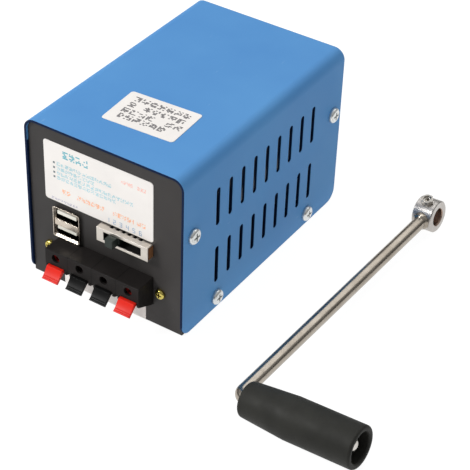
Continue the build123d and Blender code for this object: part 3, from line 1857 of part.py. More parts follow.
def make_all():
    """Every sub-part of the generator and its crank, by name."""
    cover_screw = cross_recess_screw(
        cover_screw_head_d, cover_screw_head_h, cover_screw_d, cover_screw_length
    )
    terminal_screw = cross_recess_screw(
        small_screw_head_d,
        small_screw_head_h,
        small_screw_d,
        sheet + terminal_ear_thickness + terminal_screw_spare,
    )
    terminal_nut = hex_nut(
        terminal_nut_flats, terminal_nut_thickness, small_screw_d + 2 * thread_gap
    )
    nut_y = panel_inner_y + terminal_ear_thickness
    terminal_places = terminal_screw_places()
    pieces = {
        "cover": make_cover(),
        "chassis": make_chassis(),
        "cover_screws": copies(cover_screw, cover_screw_planes(box_width / 2)),
        "cover_nuts": make_cover_nuts(),
        "usb_shell": make_usb_shell(),
        "usb_insulator": make_usb_insulator(),
        "usb_contacts": make_usb_contacts(),
        "selector_frame": make_selector_frame(),
        "selector_body": make_selector_body(),
        "selector_knob": make_selector_knob(),
        "selector_pins": make_selector_pins(),
        "terminal_body": make_terminal_body(),
        "terminal_contacts": make_terminal_contacts(),
        "terminal_screws": copies(
            terminal_screw, [front_plane(x, front_y, z) for x, z in terminal_places]
        ),
        "terminal_nuts": copies(
            terminal_nut, [rear_plane(x, nut_y, z) for x, z in terminal_places]
        ),
        "regulator_board": make_board(),
        "board_brackets": make_board_brackets(),
        "small_screws": make_small_screws(),
        "capacitors": make_capacitors(),
        "inductor": make_inductor(),
        "regulator_chips": make_chips(),
        "heat_sink": make_heat_sink(),
        "gearbox_rear_plate": make_rear_plate(),
        "gearbox_front_plate": make_front_plate(),
        "gearbox_pillars": make_pillars(),
        "gearbox_screws": make_gearbox_screws(),
        "gearbox_bushes": make_bushes(),
        "input_shaft": make_input_shaft(),
        "input_gear": make_input_gear(),
        "input_circlip": make_circlip(),
        "bearing_outer_ring": bearing_ring_part(
            bearing_od / 2, bearing_od / 2 - bearing_ring
        ),
        "bearing_inner_ring": bearing_ring_part(input_d / 2 + bearing_ring, input_d / 2),
        "bearing_balls": make_bearing_balls(),
        "bearing_housing": make_bearing_housing(),
        "layshaft_1": make_layshaft_1(),
        "layshaft_1_gear": make_layshaft_1_gear(),
        "layshaft_2": make_layshaft_2(),
        "layshaft_2_gear": make_layshaft_2_gear(),
        "generator_can": make_generator_can(),
        "generator_end_plate": make_generator_end_plate(),
        "stator_core": make_stator(),
        "stator_coils": make_stator_coils(),
        "rotor_magnet": make_rotor_magnet(),
        "rotor_shaft": make_rotor_shaft(),
        "generator_bearings": make_generator_bearings(),
        "generator_leads": make_generator_leads(),
        "crank_hub": make_crank_hub(),
        "crank_rod": make_crank_rod(),
        "hub_set_screw": make_set_screw(),
        "hub_lock_nut": make_lock_nut(),
        "grip": make_grip(),
        "grip_washer": make_grip_washer(),
        "grip_nut": make_grip_nut(),
    }
    pieces.update(make_labels())
    for cell in range(terminal_cells):
        pieces[f"terminal_lever_{cell + 1}"] = make_terminal_lever(cell)
    return pieces


os.makedirs("parts", exist_ok=True)
for label, piece in make_all().items():
    save(piece, label)
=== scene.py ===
"""Looks of the hand crank generator: camera, studio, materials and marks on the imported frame.

Everything is in the frame's metres. A value in millimetres is multiplied by MM where it is used.
"""

import math
import random

import bmesh
import bpy
from mathutils import Matrix, Vector


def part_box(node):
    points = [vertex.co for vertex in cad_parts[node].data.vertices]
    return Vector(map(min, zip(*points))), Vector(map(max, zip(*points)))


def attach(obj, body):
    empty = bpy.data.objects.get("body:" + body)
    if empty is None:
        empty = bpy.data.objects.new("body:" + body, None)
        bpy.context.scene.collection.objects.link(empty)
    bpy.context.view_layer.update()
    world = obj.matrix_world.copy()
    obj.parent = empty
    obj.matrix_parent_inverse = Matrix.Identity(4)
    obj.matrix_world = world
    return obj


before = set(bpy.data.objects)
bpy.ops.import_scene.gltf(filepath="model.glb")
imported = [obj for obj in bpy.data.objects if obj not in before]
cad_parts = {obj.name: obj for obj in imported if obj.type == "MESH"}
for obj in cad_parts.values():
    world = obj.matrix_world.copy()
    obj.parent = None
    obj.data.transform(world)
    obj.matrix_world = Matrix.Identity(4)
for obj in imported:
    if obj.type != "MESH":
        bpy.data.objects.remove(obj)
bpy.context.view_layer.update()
scene = bpy.context.scene

MM = 0.001

# The camera: its place, and in degrees its heading from +Y towards -X, its tilt down and its roll
CAMERA_AT = (0.365458, -0.540992, 0.494062)
CAMERA_HEADING = 31.918
CAMERA_TILT = 37.161
CAMERA_ROLL = 2.278
FOCAL_PIXELS = 1600.806
IMAGE_WIDTH = 470
SENSOR_WIDTH = 36.0
CLIP_START = 0.01

# The studio: the surround's greys by height, the floor, and each light's name, place, size and watts
SKY_STRENGTH = 0.5
SKY_BOTTOM = (0.10, 0.09, 0.08)
SKY_STEPS = ((0.12, 0.12), (0.3, 0.4), (0.55, 0.9))
SKY_TOP = (1.0, 1.0, 1.0)
FLOOR_SIZE = 40.0
FLOOR_DROP = 0.00005
FLOOR_GLOW = 0.94
FLOOR_WHITE = 0.15
LIGHT_TARGET = (0.0, 0.0, 0.05)
LIGHTS = (
    ("key", (-0.8, -0.9, 1.0), (0.45, 0.45), 18.0),
    ("top", (-0.2, 0.3, 1.5), (0.9, 0.7), 4.0),
    ("back", (0.1, 1.1, 1.2), (1.8, 0.6), 4.5),
)

# Materials: the range that most of a noise's values lie in, and how scratches are taken from noise
MOST_OF_NOISE = (0.3, 0.7)
SCRATCH_STRETCH = (1.0, 0.06, 0.35)
SCRATCH_LINE = (0.68, 0.72)
SCRATCH_PATCH = (0.58, 0.66)
SCRATCH_PATCH_SCALE = 0.12
BEVEL_SAMPLES = 4

# A Mix node's colour inputs and output, by number, because its sockets share their names
MIX_FIRST, MIX_SECOND, MIX_RESULT = 6, 7, 2

# Marks on the labels, in millimetres from the middle of each label. A row is its label, its ink, its
# left and right sides, its height on the label, its marks' height and the pitch of its marks
TOP_LABEL_TURN = 3.2
MARK_LIFT = 0.02
MARK_ROWS = (
    ("front_label", "teal", -20.1, -5.4, 11.7, 4.2, 3.8),
    ("front_label", "pale", -23.8, 7.6, 5.4, 2.0, 2.45),
    ("front_label", "pale", -23.8, -2.8, 2.7, 2.0, 2.45),
    ("front_label", "pale", -23.8, 21.0, 0.0, 2.0, 2.45),
    ("front_label", "pale", -23.8, 10.8, -2.5, 2.0, 2.45),
    ("front_label", "coral", 13.3, 20.7, 10.5, 1.9, 1.7),
    ("front_label", "coral", 22.3, 26.6, 10.5, 1.9, 1.7),
    ("front_label", "orange", -21.0, -15.7, -9.4, 2.5, 2.7),
    ("front_label", "orange", -12.4, 5.0, -9.4, 2.5, 2.7),
    ("front_label", "orange", 8.4, 26.0, -9.4, 2.5, 2.7),
    ("front_label", "grey", -27.5, -10.9, -15.3, 1.5, 1.75),
    ("top_label", "ink", -15.1, 16.9, 8.6, 3.9, 4.5),
    ("top_label", "ink", -14.8, -10.4, 3.3, 3.9, 4.5),
    ("top_label", "ink", -6.3, 15.6, 3.3, 3.9, 4.5),
    ("top_label", "ink", -15.0, 3.4, -2.1, 3.9, 4.5),
    ("top_label", "ink", 8.9, 17.9, -2.1, 3.9, 4.5),
    ("top_label", "ink", -14.9, 12.4, -7.0, 3.9, 4.5),
)

# One mark: the seed of its random cells, how many there are across and up, the share that is filled,
# and how much of a cell and of the pitch is inked
MARK_SEED = 7
MARK_GRID = (4, 5)
MARK_FILLED = 0.56
MARK_CELL = (0.98, 0.78)
MARK_WIDTH = 0.82

# A square bullet stands at the left of each pale row
BULLET_AT = -25.4
BULLET_SIZE = 1.1

# The selector's scale: figures from one up, from the first one's left side and their middle's height
SCALE_COUNT = 6
SCALE_START = 4.7
SCALE_PITCH = 3.7
SCALE_AT = -14.3
SCALE_SIZE = (1.5, 2.6)
SCALE_STROKE = 0.34

# The inks' colours, and how much brighter their brighter patches are
INKS = {
    "teal": (70, 165, 180),
    "pale": (150, 195, 205),
    "coral": (235, 165, 150),
    "orange": (240, 165, 115),
    "grey": (165, 165, 185),
    "ink": (72, 70, 74),
    "dark": (85, 100, 105),
    "blue": (140, 170, 200),
}
INK_BRIGHTER = 1.15

# ---------------------------------------------------------------- camera and studio


def make_camera():
    """The photograph's camera: its place, heading, tilt and slight roll."""
    heading, tilt, roll = map(math.radians, (CAMERA_HEADING, CAMERA_TILT, CAMERA_ROLL))
    forward = Vector((
        -math.sin(heading) * math.cos(tilt),
        math.cos(heading) * math.cos(tilt),
        -math.sin(tilt),
    ))
    right = Vector((math.cos(heading), math.sin(heading), 0.0))
    down = -right.cross(forward)
    x_row = math.cos(roll) * right - math.sin(roll) * down
    y_row = math.sin(roll) * right + math.cos(roll) * down
    data = bpy.data.cameras.new("camera")
    data.sensor_width = SENSOR_WIDTH
    data.lens = FOCAL_PIXELS / IMAGE_WIDTH * SENSOR_WIDTH
    data.clip_start = CLIP_START
    camera = bpy.data.objects.new("camera", data)
    scene.collection.objects.link(camera)
    turn = Matrix((x_row, -y_row, -forward)).transposed().to_4x4()
    camera.matrix_world = Matrix.Translation(CAMERA_AT) @ turn
    scene.camera = camera


def area_light(name, place, size, power):
    """A soft white rectangular light that faces the object."""
    data = bpy.data.lights.new(name, "AREA")
    data.shape = "RECTANGLE"
    data.size, data.size_y = size
    data.energy = power
    light = bpy.data.objects.new(name, data)
    scene.collection.objects.link(light)
    light.location = place
    aim = Vector(LIGHT_TARGET) - Vector(place)
    light.rotation_mode = "QUATERNION"
    light.rotation_quaternion = aim.to_track_quat("-Z", "Y")


def make_world():
    """A surround that is bright overhead and dim near the horizon, which the metal reflects."""
    world = bpy.data.worlds.new("studio")
    scene.world = world
    world.use_nodes = True
    tree = world.node_tree
    background = tree.nodes["Background"]
    coordinates = tree.nodes.new("ShaderNodeTexCoord")
    split = tree.nodes.new("ShaderNodeSeparateXYZ")
    shades = tree.nodes.new("ShaderNodeValToRGB")
    tree.links.new(coordinates.outputs["Generated"], split.inputs["Vector"])
    tree.links.new(split.outputs["Z"], shades.inputs["Fac"])
    tree.links.new(shades.outputs["Color"], background.inputs["Color"])
    shades.color_ramp.elements[0].color = (*SKY_BOTTOM, 1.0)
    shades.color_ramp.elements[1].color = (*SKY_TOP, 1.0)
    for height, grey in SKY_STEPS:
        shades.color_ramp.elements.new(height).color = (grey, grey, grey, 1.0)
    background.inputs["Strength"].default_value = SKY_STRENGTH


def make_studio():
    """A white floor that glows enough to hide its shadows, the surround and three soft lights."""
    scene.view_settings.view_transform = "Standard"
    bpy.ops.mesh.primitive_plane_add(size=FLOOR_SIZE, location=(0, 0, -FLOOR_DROP))
    floor = bpy.context.object
    floor.name = "studio_floor"
    material, n = new_material("studio_floor")
    n.shader(base=(FLOOR_WHITE, FLOOR_WHITE, FLOOR_WHITE), roughness=0.9, specular=0.0,
             emission_color=(1.0, 1.0, 1.0), emission_strength=FLOOR_GLOW)
    floor.data.materials.append(material)
    make_world()
    for light in LIGHTS:
        area_light(*light)


# ---------------------------------------------------------------- colours and nodes


def srgb(red, green, blue):
    """A linear colour from the values, 0 to 255, that a screen shows it with."""
    shares = (value / 255 for value in (red, green, blue))
    return tuple(
        share / 12.92 if share <= 0.04045 else ((share + 0.055) / 1.055) ** 2.4 for share in shares
    )


def shade(colour, factor, lift=0.0):
    """A darker or brighter version of a colour, up to white."""
    return tuple(min(1.0, value * factor + lift) for value in colour)


class Nodes:
    """Short calls for building a material's nodes."""

    def __init__(self, tree):
        self.tree = tree
        self.output = tree.nodes.new("ShaderNodeOutputMaterial")
        self.coordinates = tree.nodes.new("ShaderNodeTexCoord")

    def add(self, kind, inputs=(), **settings):
        """A node with these settings, whose inputs are values or other nodes' outputs."""
        node = self.tree.nodes.new(kind)
        for key, value in settings.items():
            setattr(node, key, value)
        for key, value in dict(inputs).items():
            self.feed(node.inputs[key], value)
        return node

    def feed(self, socket, value):
        """Links an output to a socket, or gives the socket a value."""
        if isinstance(value, bpy.types.NodeSocket):
            self.tree.links.new(value, socket)
        elif isinstance(value, tuple) and len(value) == 3 and len(socket.default_value) == 4:
            socket.default_value = (*value, 1.0)
        else:
            socket.default_value = value

    def math(self, operation, first, second=0.0):
        node = self.add("ShaderNodeMath", {0: first, 1: second}, operation=operation)
        return node.outputs["Value"]

    def mix(self, factor, first, second):
        """A colour that goes from the first to the second as the factor goes from 0 to 1."""
        node = self.add("ShaderNodeMix", {"Factor": factor}, data_type="RGBA")
        self.feed(node.inputs[MIX_FIRST], first)
        self.feed(node.inputs[MIX_SECOND], second)
        return node.outputs[MIX_RESULT]

    def over(self, colour, other, where, strength):
        """A colour with another one over it, where a mask is 1 and only this strongly."""
        return self.mix(self.math("MULTIPLY", where, strength), colour, other)

    def hide(self, colour, hidden):
        """A colour that turns dark where a mask function says, if there is one, mostly for painted
        shade.
        """
        if hidden is None:
            return colour
        where, dark = hidden(self)
        return self.mix(where, colour, dark)

    def ramp(self, value, low, high, start=0.0, end=1.0):
        """A value that goes from start to end as another goes from low to high, and no further."""
        node = self.add(
            "ShaderNodeMapRange",
            {"Value": value, "From Min": low, "From Max": high, "To Min": start, "To Max": end},
        )
        return node.outputs["Result"]

    def above(self, value, limit, soft, full=1.0):
        """0 up to a limit, and full from this far past it."""
        return self.ramp(value, limit, limit + soft, 0.0, full)

    def below(self, value, limit, soft, full=1.0):
        """Full up to a limit, and 0 from this far past it."""
        return self.ramp(value, limit, limit + soft, full, 0.0)

    def along(self, axis):
        """The distance along one axis of the part, in metres."""
        split = self.add("ShaderNodeSeparateXYZ", {"Vector": self.coordinates.outputs["Object"]})
        return split.outputs[axis]

    def noise(self, scale, detail=4.0, rough=0.55, stretch=(1.0, 1.0, 1.0), distortion=0.0):
        """Noise from 0 to 1, with about this many patches in a metre."""
        place = self.add(
            "ShaderNodeMapping",
            {"Vector": self.coordinates.outputs["Object"], "Scale": stretch},
        )
        node = self.add(
            "ShaderNodeTexNoise",
            {"Vector": place.outputs["Vector"], "Scale": scale, "Detail": detail,
             "Roughness": rough, "Distortion": distortion},
        )
        return node.outputs["Fac"]

    def patches(self, scale, detail, start=0.0, end=1.0):
        """Soft patches between two values."""
        return self.ramp(self.noise(scale, detail), *MOST_OF_NOISE, start, end)

    def scratches(self, scale, spread):
        """Sparse fine lines, from 0 to 1, over more of the surface with a larger spread."""
        lines = self.noise(scale, detail=2.0, rough=0.5, stretch=SCRATCH_STRETCH, distortion=0.4)
        where = self.noise(scale * SCRATCH_PATCH_SCALE, detail=2.0)
        low, high = SCRATCH_PATCH
        patch = self.ramp(where, low - spread, high - spread)
        return self.math("MULTIPLY", self.ramp(lines, *SCRATCH_LINE), patch)

    def edges(self, radius):
        """How near an edge is, from 0, and a normal that rounds the edges."""
        bevel = self.add("ShaderNodeBevel", {"Radius": radius}, samples=BEVEL_SAMPLES)
        geometry = self.add("ShaderNodeNewGeometry")
        dot = self.add(
            "ShaderNodeVectorMath",
            {0: bevel.outputs["Normal"], 1: geometry.outputs["Normal"]},
            operation="DOT_PRODUCT",
        )
        return self.math("SUBTRACT", 1.0, dot.outputs["Value"]), bevel.outputs["Normal"]

    def bump(self, height, distance, strength, normal):
        """A normal with this relief, in metres, on top of another normal."""
        node = self.add(
            "ShaderNodeBump",
            {"Height": height, "Distance": distance, "Strength": strength, "Normal": normal},
        )
        return node.outputs["Normal"]

    def shader(self, base, roughness, metallic=0.0, specular=0.5, normal=None, **more):
        """The surface. More inputs are given by their names in lower case."""
        shader = self.add("ShaderNodeBsdfPrincipled")
        self.feed(shader.inputs["Base Color"], base)
        self.feed(shader.inputs["Roughness"], roughness)
        shader.inputs["Metallic"].default_value = metallic
        shader.inputs["Specular IOR Level"].default_value = specular
        if normal is not None:
            self.feed(shader.inputs["Normal"], normal)
        for key, value in more.items():
            self.feed(shader.inputs[key.replace("_", " ").title()], value)
        self.tree.links.new(shader.outputs["BSDF"], self.output.inputs["Surface"])


def new_material(name):
    """An empty material and its node builder."""
    material = bpy.data.materials.new(name)
    material.use_nodes = True
    material.node_tree.nodes.clear()
    return material, Nodes(material.node_tree)


# ---------------------------------------------------------------- kinds of material

# Each kind takes its darker and its lighter colour, its roughness and its grain's scale. bump is the
# grain's depth in millimetres. hidden is one of the mask functions below: where the colour turns dark,
# and the dark colour, which is mostly painted shade.


def paint(name, dark, light, roughness, grain, worn, specular, hidden=None):
    """Powder paint: a fine orange peel, slight colour changes, scratches and rubbed edges."""
    material, n = new_material(name)
    edge, rounded = n.edges(radius=0.4 * MM)
    chips = n.ramp(n.noise(scale=500.0), low=0.5, high=0.62)
    rubbed = n.math("MULTIPLY", n.ramp(edge, low=0.12, high=0.3), chips)
    scratch = n.scratches(scale=900.0, spread=0.0)
    colour = n.mix(n.patches(scale=14.0, detail=3.0), dark, light)
    colour = n.over(colour, worn, rubbed, strength=0.4)
    colour = n.over(colour, worn, scratch, strength=0.25)
    colour = n.hide(colour, hidden)
    gloss = n.patches(scale=60.0, detail=5.0, start=roughness - 0.05, end=roughness + 0.07)
    rough = n.math("ADD", gloss, n.math("MULTIPLY", scratch, 0.15))
    peel = n.noise(grain, detail=2.0)
    normal = n.bump(peel, distance=0.03 * MM, strength=0.35, normal=rounded)
    n.shader(colour, rough, specular=specular, normal=normal)
    return material


def metal(name, dark, light, roughness, grain=900.0, bump=0.01, hidden=None):
    """Metal or plating: a fine grain, fingerprints in the gloss, tarnish, scratches, a soft edge."""
    material, n = new_material(name)
    tarnish = n.ramp(n.noise(scale=260.0, detail=5.0, rough=0.6), low=0.55, high=0.75)
    colour = n.mix(n.patches(scale=40.0, detail=4.0), dark, light)
    colour = n.over(colour, shade(dark, 0.55), tarnish, strength=0.35)
    colour = n.hide(colour, hidden)
    fine = n.noise(grain, detail=3.0)
    smears = n.noise(scale=120.0, detail=5.0, distortion=0.6)
    gloss = n.ramp(smears, low=0.35, high=0.7, start=roughness - 0.04, end=roughness + 0.06)
    rough = n.math("ADD", gloss, n.ramp(fine, *MOST_OF_NOISE, start=-0.03, end=0.03))
    scratch = n.scratches(scale=1400.0, spread=0.04)
    rough = n.math("ADD", rough, n.math("MULTIPLY", scratch, 0.2))
    rounded = n.edges(radius=0.25 * MM)[1]
    normal = n.bump(fine, distance=bump * MM, strength=0.4, normal=rounded)
    n.shader(colour, rough, metallic=1.0, normal=normal)
    return material


def plastic(name, dark, light, roughness, grain=2500.0, bump=0.01, specular=0.5, hidden=None):
    """Moulded plastic: a fine skin, uneven gloss, faint dust and paler rubbed edges."""
    material, n = new_material(name)
    edge, rounded = n.edges(radius=0.3 * MM)
    dust = n.ramp(n.noise(scale=3200.0, detail=2.0), low=0.7, high=0.74)
    pale = shade(light, 1.6, lift=0.01)
    colour = n.mix(n.patches(scale=60.0, detail=4.0), dark, light)
    colour = n.over(colour, pale, n.ramp(edge, low=0.1, high=0.4), strength=0.3)
    colour = n.over(colour, pale, dust, strength=0.25)
    colour = n.hide(colour, hidden)
    rough = n.patches(scale=150.0, detail=5.0, start=roughness - 0.06, end=roughness + 0.08)
    skin = n.noise(grain, detail=2.0)
    normal = n.bump(skin, distance=bump * MM, strength=0.4, normal=rounded)
    n.shader(colour, rough, specular=specular, normal=normal)
    return material


# ---------------------------------------------------------------- where a colour turns dark, mostly painted shade


def between_sides(n, low, high, margin, soft):
    """1 between two corners along X, and 0 within a margin of them, with a soft step between."""
    from_middle = n.math("ABSOLUTE", n.math("SUBTRACT", n.along("X"), (low.x + high.x) / 2))
    return n.below(from_middle, (high.x - low.x) / 2 - margin - soft, soft)


def painted_shade_on_cover(n):
    """Painted shade on the cover: its front cut edge, and its inside below the round bends, are made
    dark navy.
    """
    low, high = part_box("cover")
    inside = between_sides(n, low, high, margin=0.1 * MM, soft=0.1 * MM)
    under = n.below(n.along("Z"), high.z - 13.0 * MM, soft=1.0 * MM)
    rim = n.below(n.along("Y"), low.y + 0.02 * MM, soft=0.06 * MM)
    return n.math("MAXIMUM", n.math("MULTIPLY", inside, under), rim), srgb(16, 32, 62)


def port_depth(n):
    """The inside of the stacked sockets, which gets no light a little way in."""
    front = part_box("usb_shell")[0].y
    return n.above(n.along("Y"), front + 1.6 * MM, soft=1.8 * MM), srgb(14, 13, 12)


def painted_shade_in_shell(n):
    """Painted shade on the shell's inner walls: darker than its outside, from just behind its lip."""
    low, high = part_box("usb_shell")
    inside = between_sides(n, low, high, margin=1.6 * MM, soft=0.1 * MM)
    behind = n.above(n.along("Y"), low.y + 0.9 * MM, soft=1.1 * MM)
    return n.math("MULTIPLY", inside, behind), srgb(20, 18, 16)


def painted_shade_in_track(n):
    """Painted shade in the selector's track, which is made near black inside its brown body."""
    low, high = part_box("selector_body")
    return between_sides(n, low, high, margin=3.0 * MM, soft=0.2 * MM), srgb(12, 10, 9)


def cell_lines(n):
    """Fine joints between the four terminals."""
    first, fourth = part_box("terminal_lever_1"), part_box("terminal_lever_4")
    pitch = (fourth[0].x - first[0].x) / 3
    middle = (first[0].x + fourth[1].x) / 2
    from_joint = n.math("PINGPONG", n.math("SUBTRACT", n.along("X"), middle), pitch / 2)
    return n.below(from_joint, 0.1 * MM, soft=0.12 * MM, full=0.8), srgb(8, 8, 8)


def bore_inside(n):
    """The hub's bore, which is made darker and browner than the rest of the hub."""
    low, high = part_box("crank_hub")
    across = n.math("SUBTRACT", n.along("Y"), (low.y + high.y) / 2)
    up = n.math("SUBTRACT", n.along("Z"), (low.z + high.z) / 2)
    squares = n.math("ADD", n.math("MULTIPLY", across, across), n.math("MULTIPLY", up, up))
    radius = n.math("SQRT", squares)
    return n.below(radius, 4.75 * MM, soft=0.15 * MM, full=0.7), srgb(150, 115, 90)


def painted_shade_on_levers(n):
    """Painted shade on the levers' bodies, which only show through the wire holes."""
    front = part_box("terminal_body")[0].y
    return n.above(n.along("Y"), front + 0.6 * MM, soft=0.8 * MM, full=0.75), srgb(20, 6, 8)


# ---------------------------------------------------------------- a material for every CAD node


def dress(material, *nodes):
    """Gives a material to CAD nodes."""
    for node in nodes:
        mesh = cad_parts[node].data
        mesh.materials.clear()
        mesh.materials.append(material)


def dress_box():
    """The cover, the chassis and the labels, and every zinc plated screw, nut and bracket."""
    dress(paint("blue_paint", srgb(82, 138, 195), srgb(90, 147, 201), 0.42, grain=1300.0,
                worn=srgb(150, 180, 210), specular=0.05, hidden=painted_shade_on_cover),
          "cover")
    dress(paint("panel_paint", srgb(46, 44, 43), srgb(54, 51, 50), 0.55, grain=1700.0,
                worn=srgb(110, 105, 100), specular=0.3),
          "chassis")
    dress(metal("zinc", srgb(205, 208, 208), srgb(230, 232, 230), 0.34),
          "cover_screws", "cover_nuts", "terminal_nuts", "board_brackets", "small_screws",
          "gearbox_screws")
    dress(plastic("label_film", srgb(228, 224, 220), srgb(235, 231, 227), 0.45, grain=900.0,
                  specular=0.3),
          "top_label", "front_label", "lower_label")


def dress_sockets():
    """The stacked sockets."""
    dress(metal("tinned_steel", srgb(188, 176, 162), srgb(214, 203, 190), 0.25,
                hidden=painted_shade_in_shell),
          "usb_shell")
    dress(plastic("cream_plastic", srgb(215, 212, 200), srgb(232, 229, 218), 0.5,
                  hidden=port_depth),
          "usb_insulator")
    dress(metal("gold_plate", srgb(220, 170, 80), srgb(235, 195, 110), 0.25, hidden=port_depth),
          "usb_contacts")


def dress_selector():
    """The slide selector."""
    dress(metal("frame_steel", srgb(200, 193, 184), srgb(222, 216, 207), 0.38), "selector_frame")
    dress(plastic("phenolic", srgb(120, 78, 42), srgb(150, 100, 58), 0.6, hidden=painted_shade_in_track),
          "selector_body")
    dress(plastic("selector_plastic", srgb(30, 38, 34), srgb(40, 50, 45), 0.5, specular=0.3),
          "selector_knob")


def dress_terminals():
    """The push terminals, and the selector's pins, which are the same brass."""
    dress(metal("brass", srgb(190, 172, 84), srgb(222, 208, 120), 0.25),
          "selector_pins", "terminal_contacts", "terminal_screws")
    dress(plastic("black_plastic", srgb(27, 25, 24), srgb(36, 33, 32), 0.5, specular=0.1,
                  hidden=cell_lines),
          "terminal_body")
    dress(plastic("red_plastic", srgb(212, 30, 18), srgb(228, 42, 26), 0.4, specular=0.2,
                  hidden=painted_shade_on_levers),
          "terminal_lever_1", "terminal_lever_4")
    dress(plastic("black_lever", srgb(12, 12, 12), srgb(18, 18, 18), 0.4, specular=0.1,
                  hidden=painted_shade_on_levers),
          "terminal_lever_2", "terminal_lever_3")


def dress_board():
    """The regulator board and what stands on it, and what else is ferrite or bare aluminium."""
    dress(plastic("circuit_board", srgb(20, 80, 45), srgb(30, 100, 58), 0.4), "regulator_board")
    dress(plastic("capacitor_sleeve", srgb(22, 28, 40), srgb(30, 38, 54), 0.3), "capacitors")
    dress(plastic("ferrite", srgb(48, 48, 50), srgb(62, 62, 64), 0.6), "inductor", "rotor_magnet")
    dress(plastic("chip_plastic", srgb(30, 30, 30), srgb(40, 40, 40), 0.6), "regulator_chips")
    dress(metal("bare_aluminium", srgb(195, 196, 198), srgb(215, 216, 218), 0.35),
          "heat_sink", "generator_end_plate", "bearing_housing")


def dress_gears_and_generator():
    """The gearbox, its shafts and gears, and the rest of the generator."""
    dress(metal("plate_steel", srgb(150, 150, 150), srgb(178, 178, 176), 0.35),
          "gearbox_rear_plate", "gearbox_front_plate", "gearbox_pillars", "generator_can")
    dress(metal("bronze", srgb(150, 105, 55), srgb(180, 130, 72), 0.4),
          "gearbox_bushes", "generator_bearings")
    dress(metal("ground_steel", srgb(180, 180, 180), srgb(205, 205, 203), 0.18),
          "input_shaft", "input_circlip", "layshaft_1", "layshaft_2", "rotor_shaft",
          "bearing_inner_ring", "bearing_outer_ring", "bearing_balls")
    dress(metal("gear_steel", srgb(120, 118, 115), srgb(150, 147, 143), 0.35),
          "input_gear", "layshaft_1_gear", "layshaft_2_gear")
    dress(metal("lamination_steel", srgb(70, 70, 74), srgb(90, 90, 94), 0.5), "stator_core")
    dress(metal("copper_wire", srgb(170, 85, 45), srgb(200, 110, 62), 0.35), "stator_coils")
    dress(plastic("lead_insulation", srgb(28, 28, 28), srgb(38, 38, 38), 0.5), "generator_leads")


def dress_crank():
    """The crank that lies beside the box."""
    dress(metal("nickel", srgb(155, 146, 134), srgb(177, 169, 158), 0.24, grain=250.0, bump=0.002),
          "crank_rod")
    dress(metal("cast_nickel", srgb(180, 175, 170), srgb(208, 204, 200), 0.38, grain=500.0,
                bump=0.06, hidden=bore_inside),
          "crank_hub")
    dress(metal("plated_steel", srgb(185, 180, 172), srgb(212, 208, 202), 0.2),
          "hub_set_screw", "hub_lock_nut", "grip_washer", "grip_nut")
    dress(plastic("grip_plastic", srgb(33, 33, 30), srgb(43, 43, 39), 0.6, grain=700.0, bump=0.03,
                  specular=0.2),
          "grip")


# ---------------------------------------------------------------- marks on the labels


def on_label(label, across, up):
    """The point on a label's face this far, in millimetres, from its middle."""
    low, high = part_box(label)
    middle = (low + high) / 2
    if label == "top_label":
        turned = Matrix.Rotation(math.radians(TOP_LABEL_TURN), 2) @ Vector((across, up)) * MM
        return middle.x + turned.x, middle.y + turned.y, high.z + MARK_LIFT * MM
    return middle.x + across * MM, low.y - MARK_LIFT * MM, middle.z + up * MM


def flat_mesh(name, rectangles, label, material):
    """Thin print on a label: each rectangle is left, low, right and high in millimetres."""
    mesh = bpy.data.meshes.new(name)
    sheet = bmesh.new()
    for left, bottom, right, top in rectangles:
        corners = ((left, bottom), (right, bottom), (right, top), (left, top))
        sheet.faces.new([sheet.verts.new(on_label(label, *corner)) for corner in corners])
    sheet.to_mesh(mesh)
    sheet.free()
    mesh.materials.append(material)
    piece = bpy.data.objects.new(name, mesh)
    scene.collection.objects.link(piece)
    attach(piece, "housing")


def mark(left, low, width, height, chance):
    """One plain mark: a small grid with some of its cells filled."""
    columns, rows = MARK_GRID
    step_x, step_z = width / columns, height / rows
    cells = []
    for column in range(columns):
        for row in range(rows):
            if chance.random() < MARK_FILLED:
                x = left + column * step_x
                z = low + row * step_z
                cells.append((x, z, x + step_x * MARK_CELL[0], z + step_z * MARK_CELL[1]))
    return cells


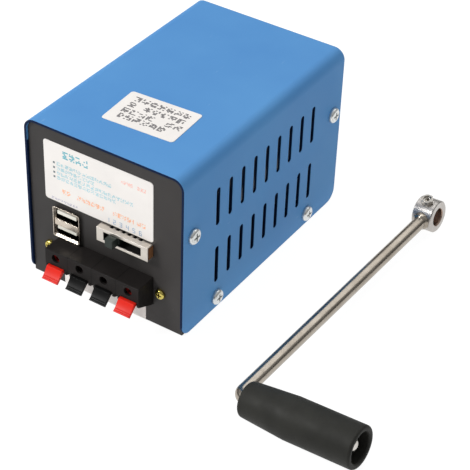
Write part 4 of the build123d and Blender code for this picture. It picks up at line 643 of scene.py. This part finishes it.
def bullet(height):
    """The square at the left of a row."""
    half = BULLET_SIZE / 2
    return BULLET_AT - half, height - half, BULLET_AT + half, height + half


def digit(number, left, low):
    """A plain figure from one to six, drawn in straight strokes."""
    width, height = SCALE_SIZE
    stroke = SCALE_STROKE
    right, top, middle = left + width, low + height, low + height / 2
    strokes = {
        "top": (left, top - stroke, right, top),
        "middle": (left, middle - stroke / 2, right, middle + stroke / 2),
        "bottom": (left, low, right, low + stroke),
        "upper left": (left, middle, left + stroke, top),
        "upper right": (right - stroke, middle, right, top),
        "lower left": (left, low, left + stroke, middle),
        "lower right": (right - stroke, low, right, middle),
    }
    figures = {
        1: ("upper right", "lower right"),
        2: ("top", "upper right", "middle", "lower left", "bottom"),
        3: ("top", "upper right", "middle", "lower right", "bottom"),
        4: ("upper left", "upper right", "middle", "lower right"),
        5: ("top", "upper left", "middle", "lower right", "bottom"),
        6: ("top", "upper left", "middle", "lower left", "lower right", "bottom"),
    }
    return [strokes[name] for name in figures[number]]


def make_marks():
    """Rows of plain marks and bullets on the labels, and the selector's scale."""
    chance = random.Random(MARK_SEED)
    printed = {}
    for label, ink, start, end, middle, height, pitch in MARK_ROWS:
        cells = printed.setdefault((label, ink), [])
        for index in range(int((end - start) / pitch + 0.5)):
            left = start + index * pitch
            cells += mark(left, middle - height / 2, pitch * MARK_WIDTH, height, chance)
    printed["front_label", "dark"] = [
        bullet(middle) for _, ink, _, _, middle, _, _ in MARK_ROWS if ink == "pale"
    ]
    scale = []
    for index in range(SCALE_COUNT):
        left = SCALE_START + index * SCALE_PITCH
        scale += digit(index + 1, left, SCALE_AT - SCALE_SIZE[1] / 2)
    printed["front_label", "blue"] = scale
    for (label, ink), cells in printed.items():
        colour = srgb(*INKS[ink])
        material = plastic(f"print_{ink}", colour, shade(colour, INK_BRIGHTER), 0.5)
        flat_mesh(f"{label}_{ink}", cells, label, material)


make_camera()
make_studio()
dress_box()
dress_sockets()
dress_selector()
dress_terminals()
dress_board()
dress_gears_and_generator()
dress_crank()
make_marks()
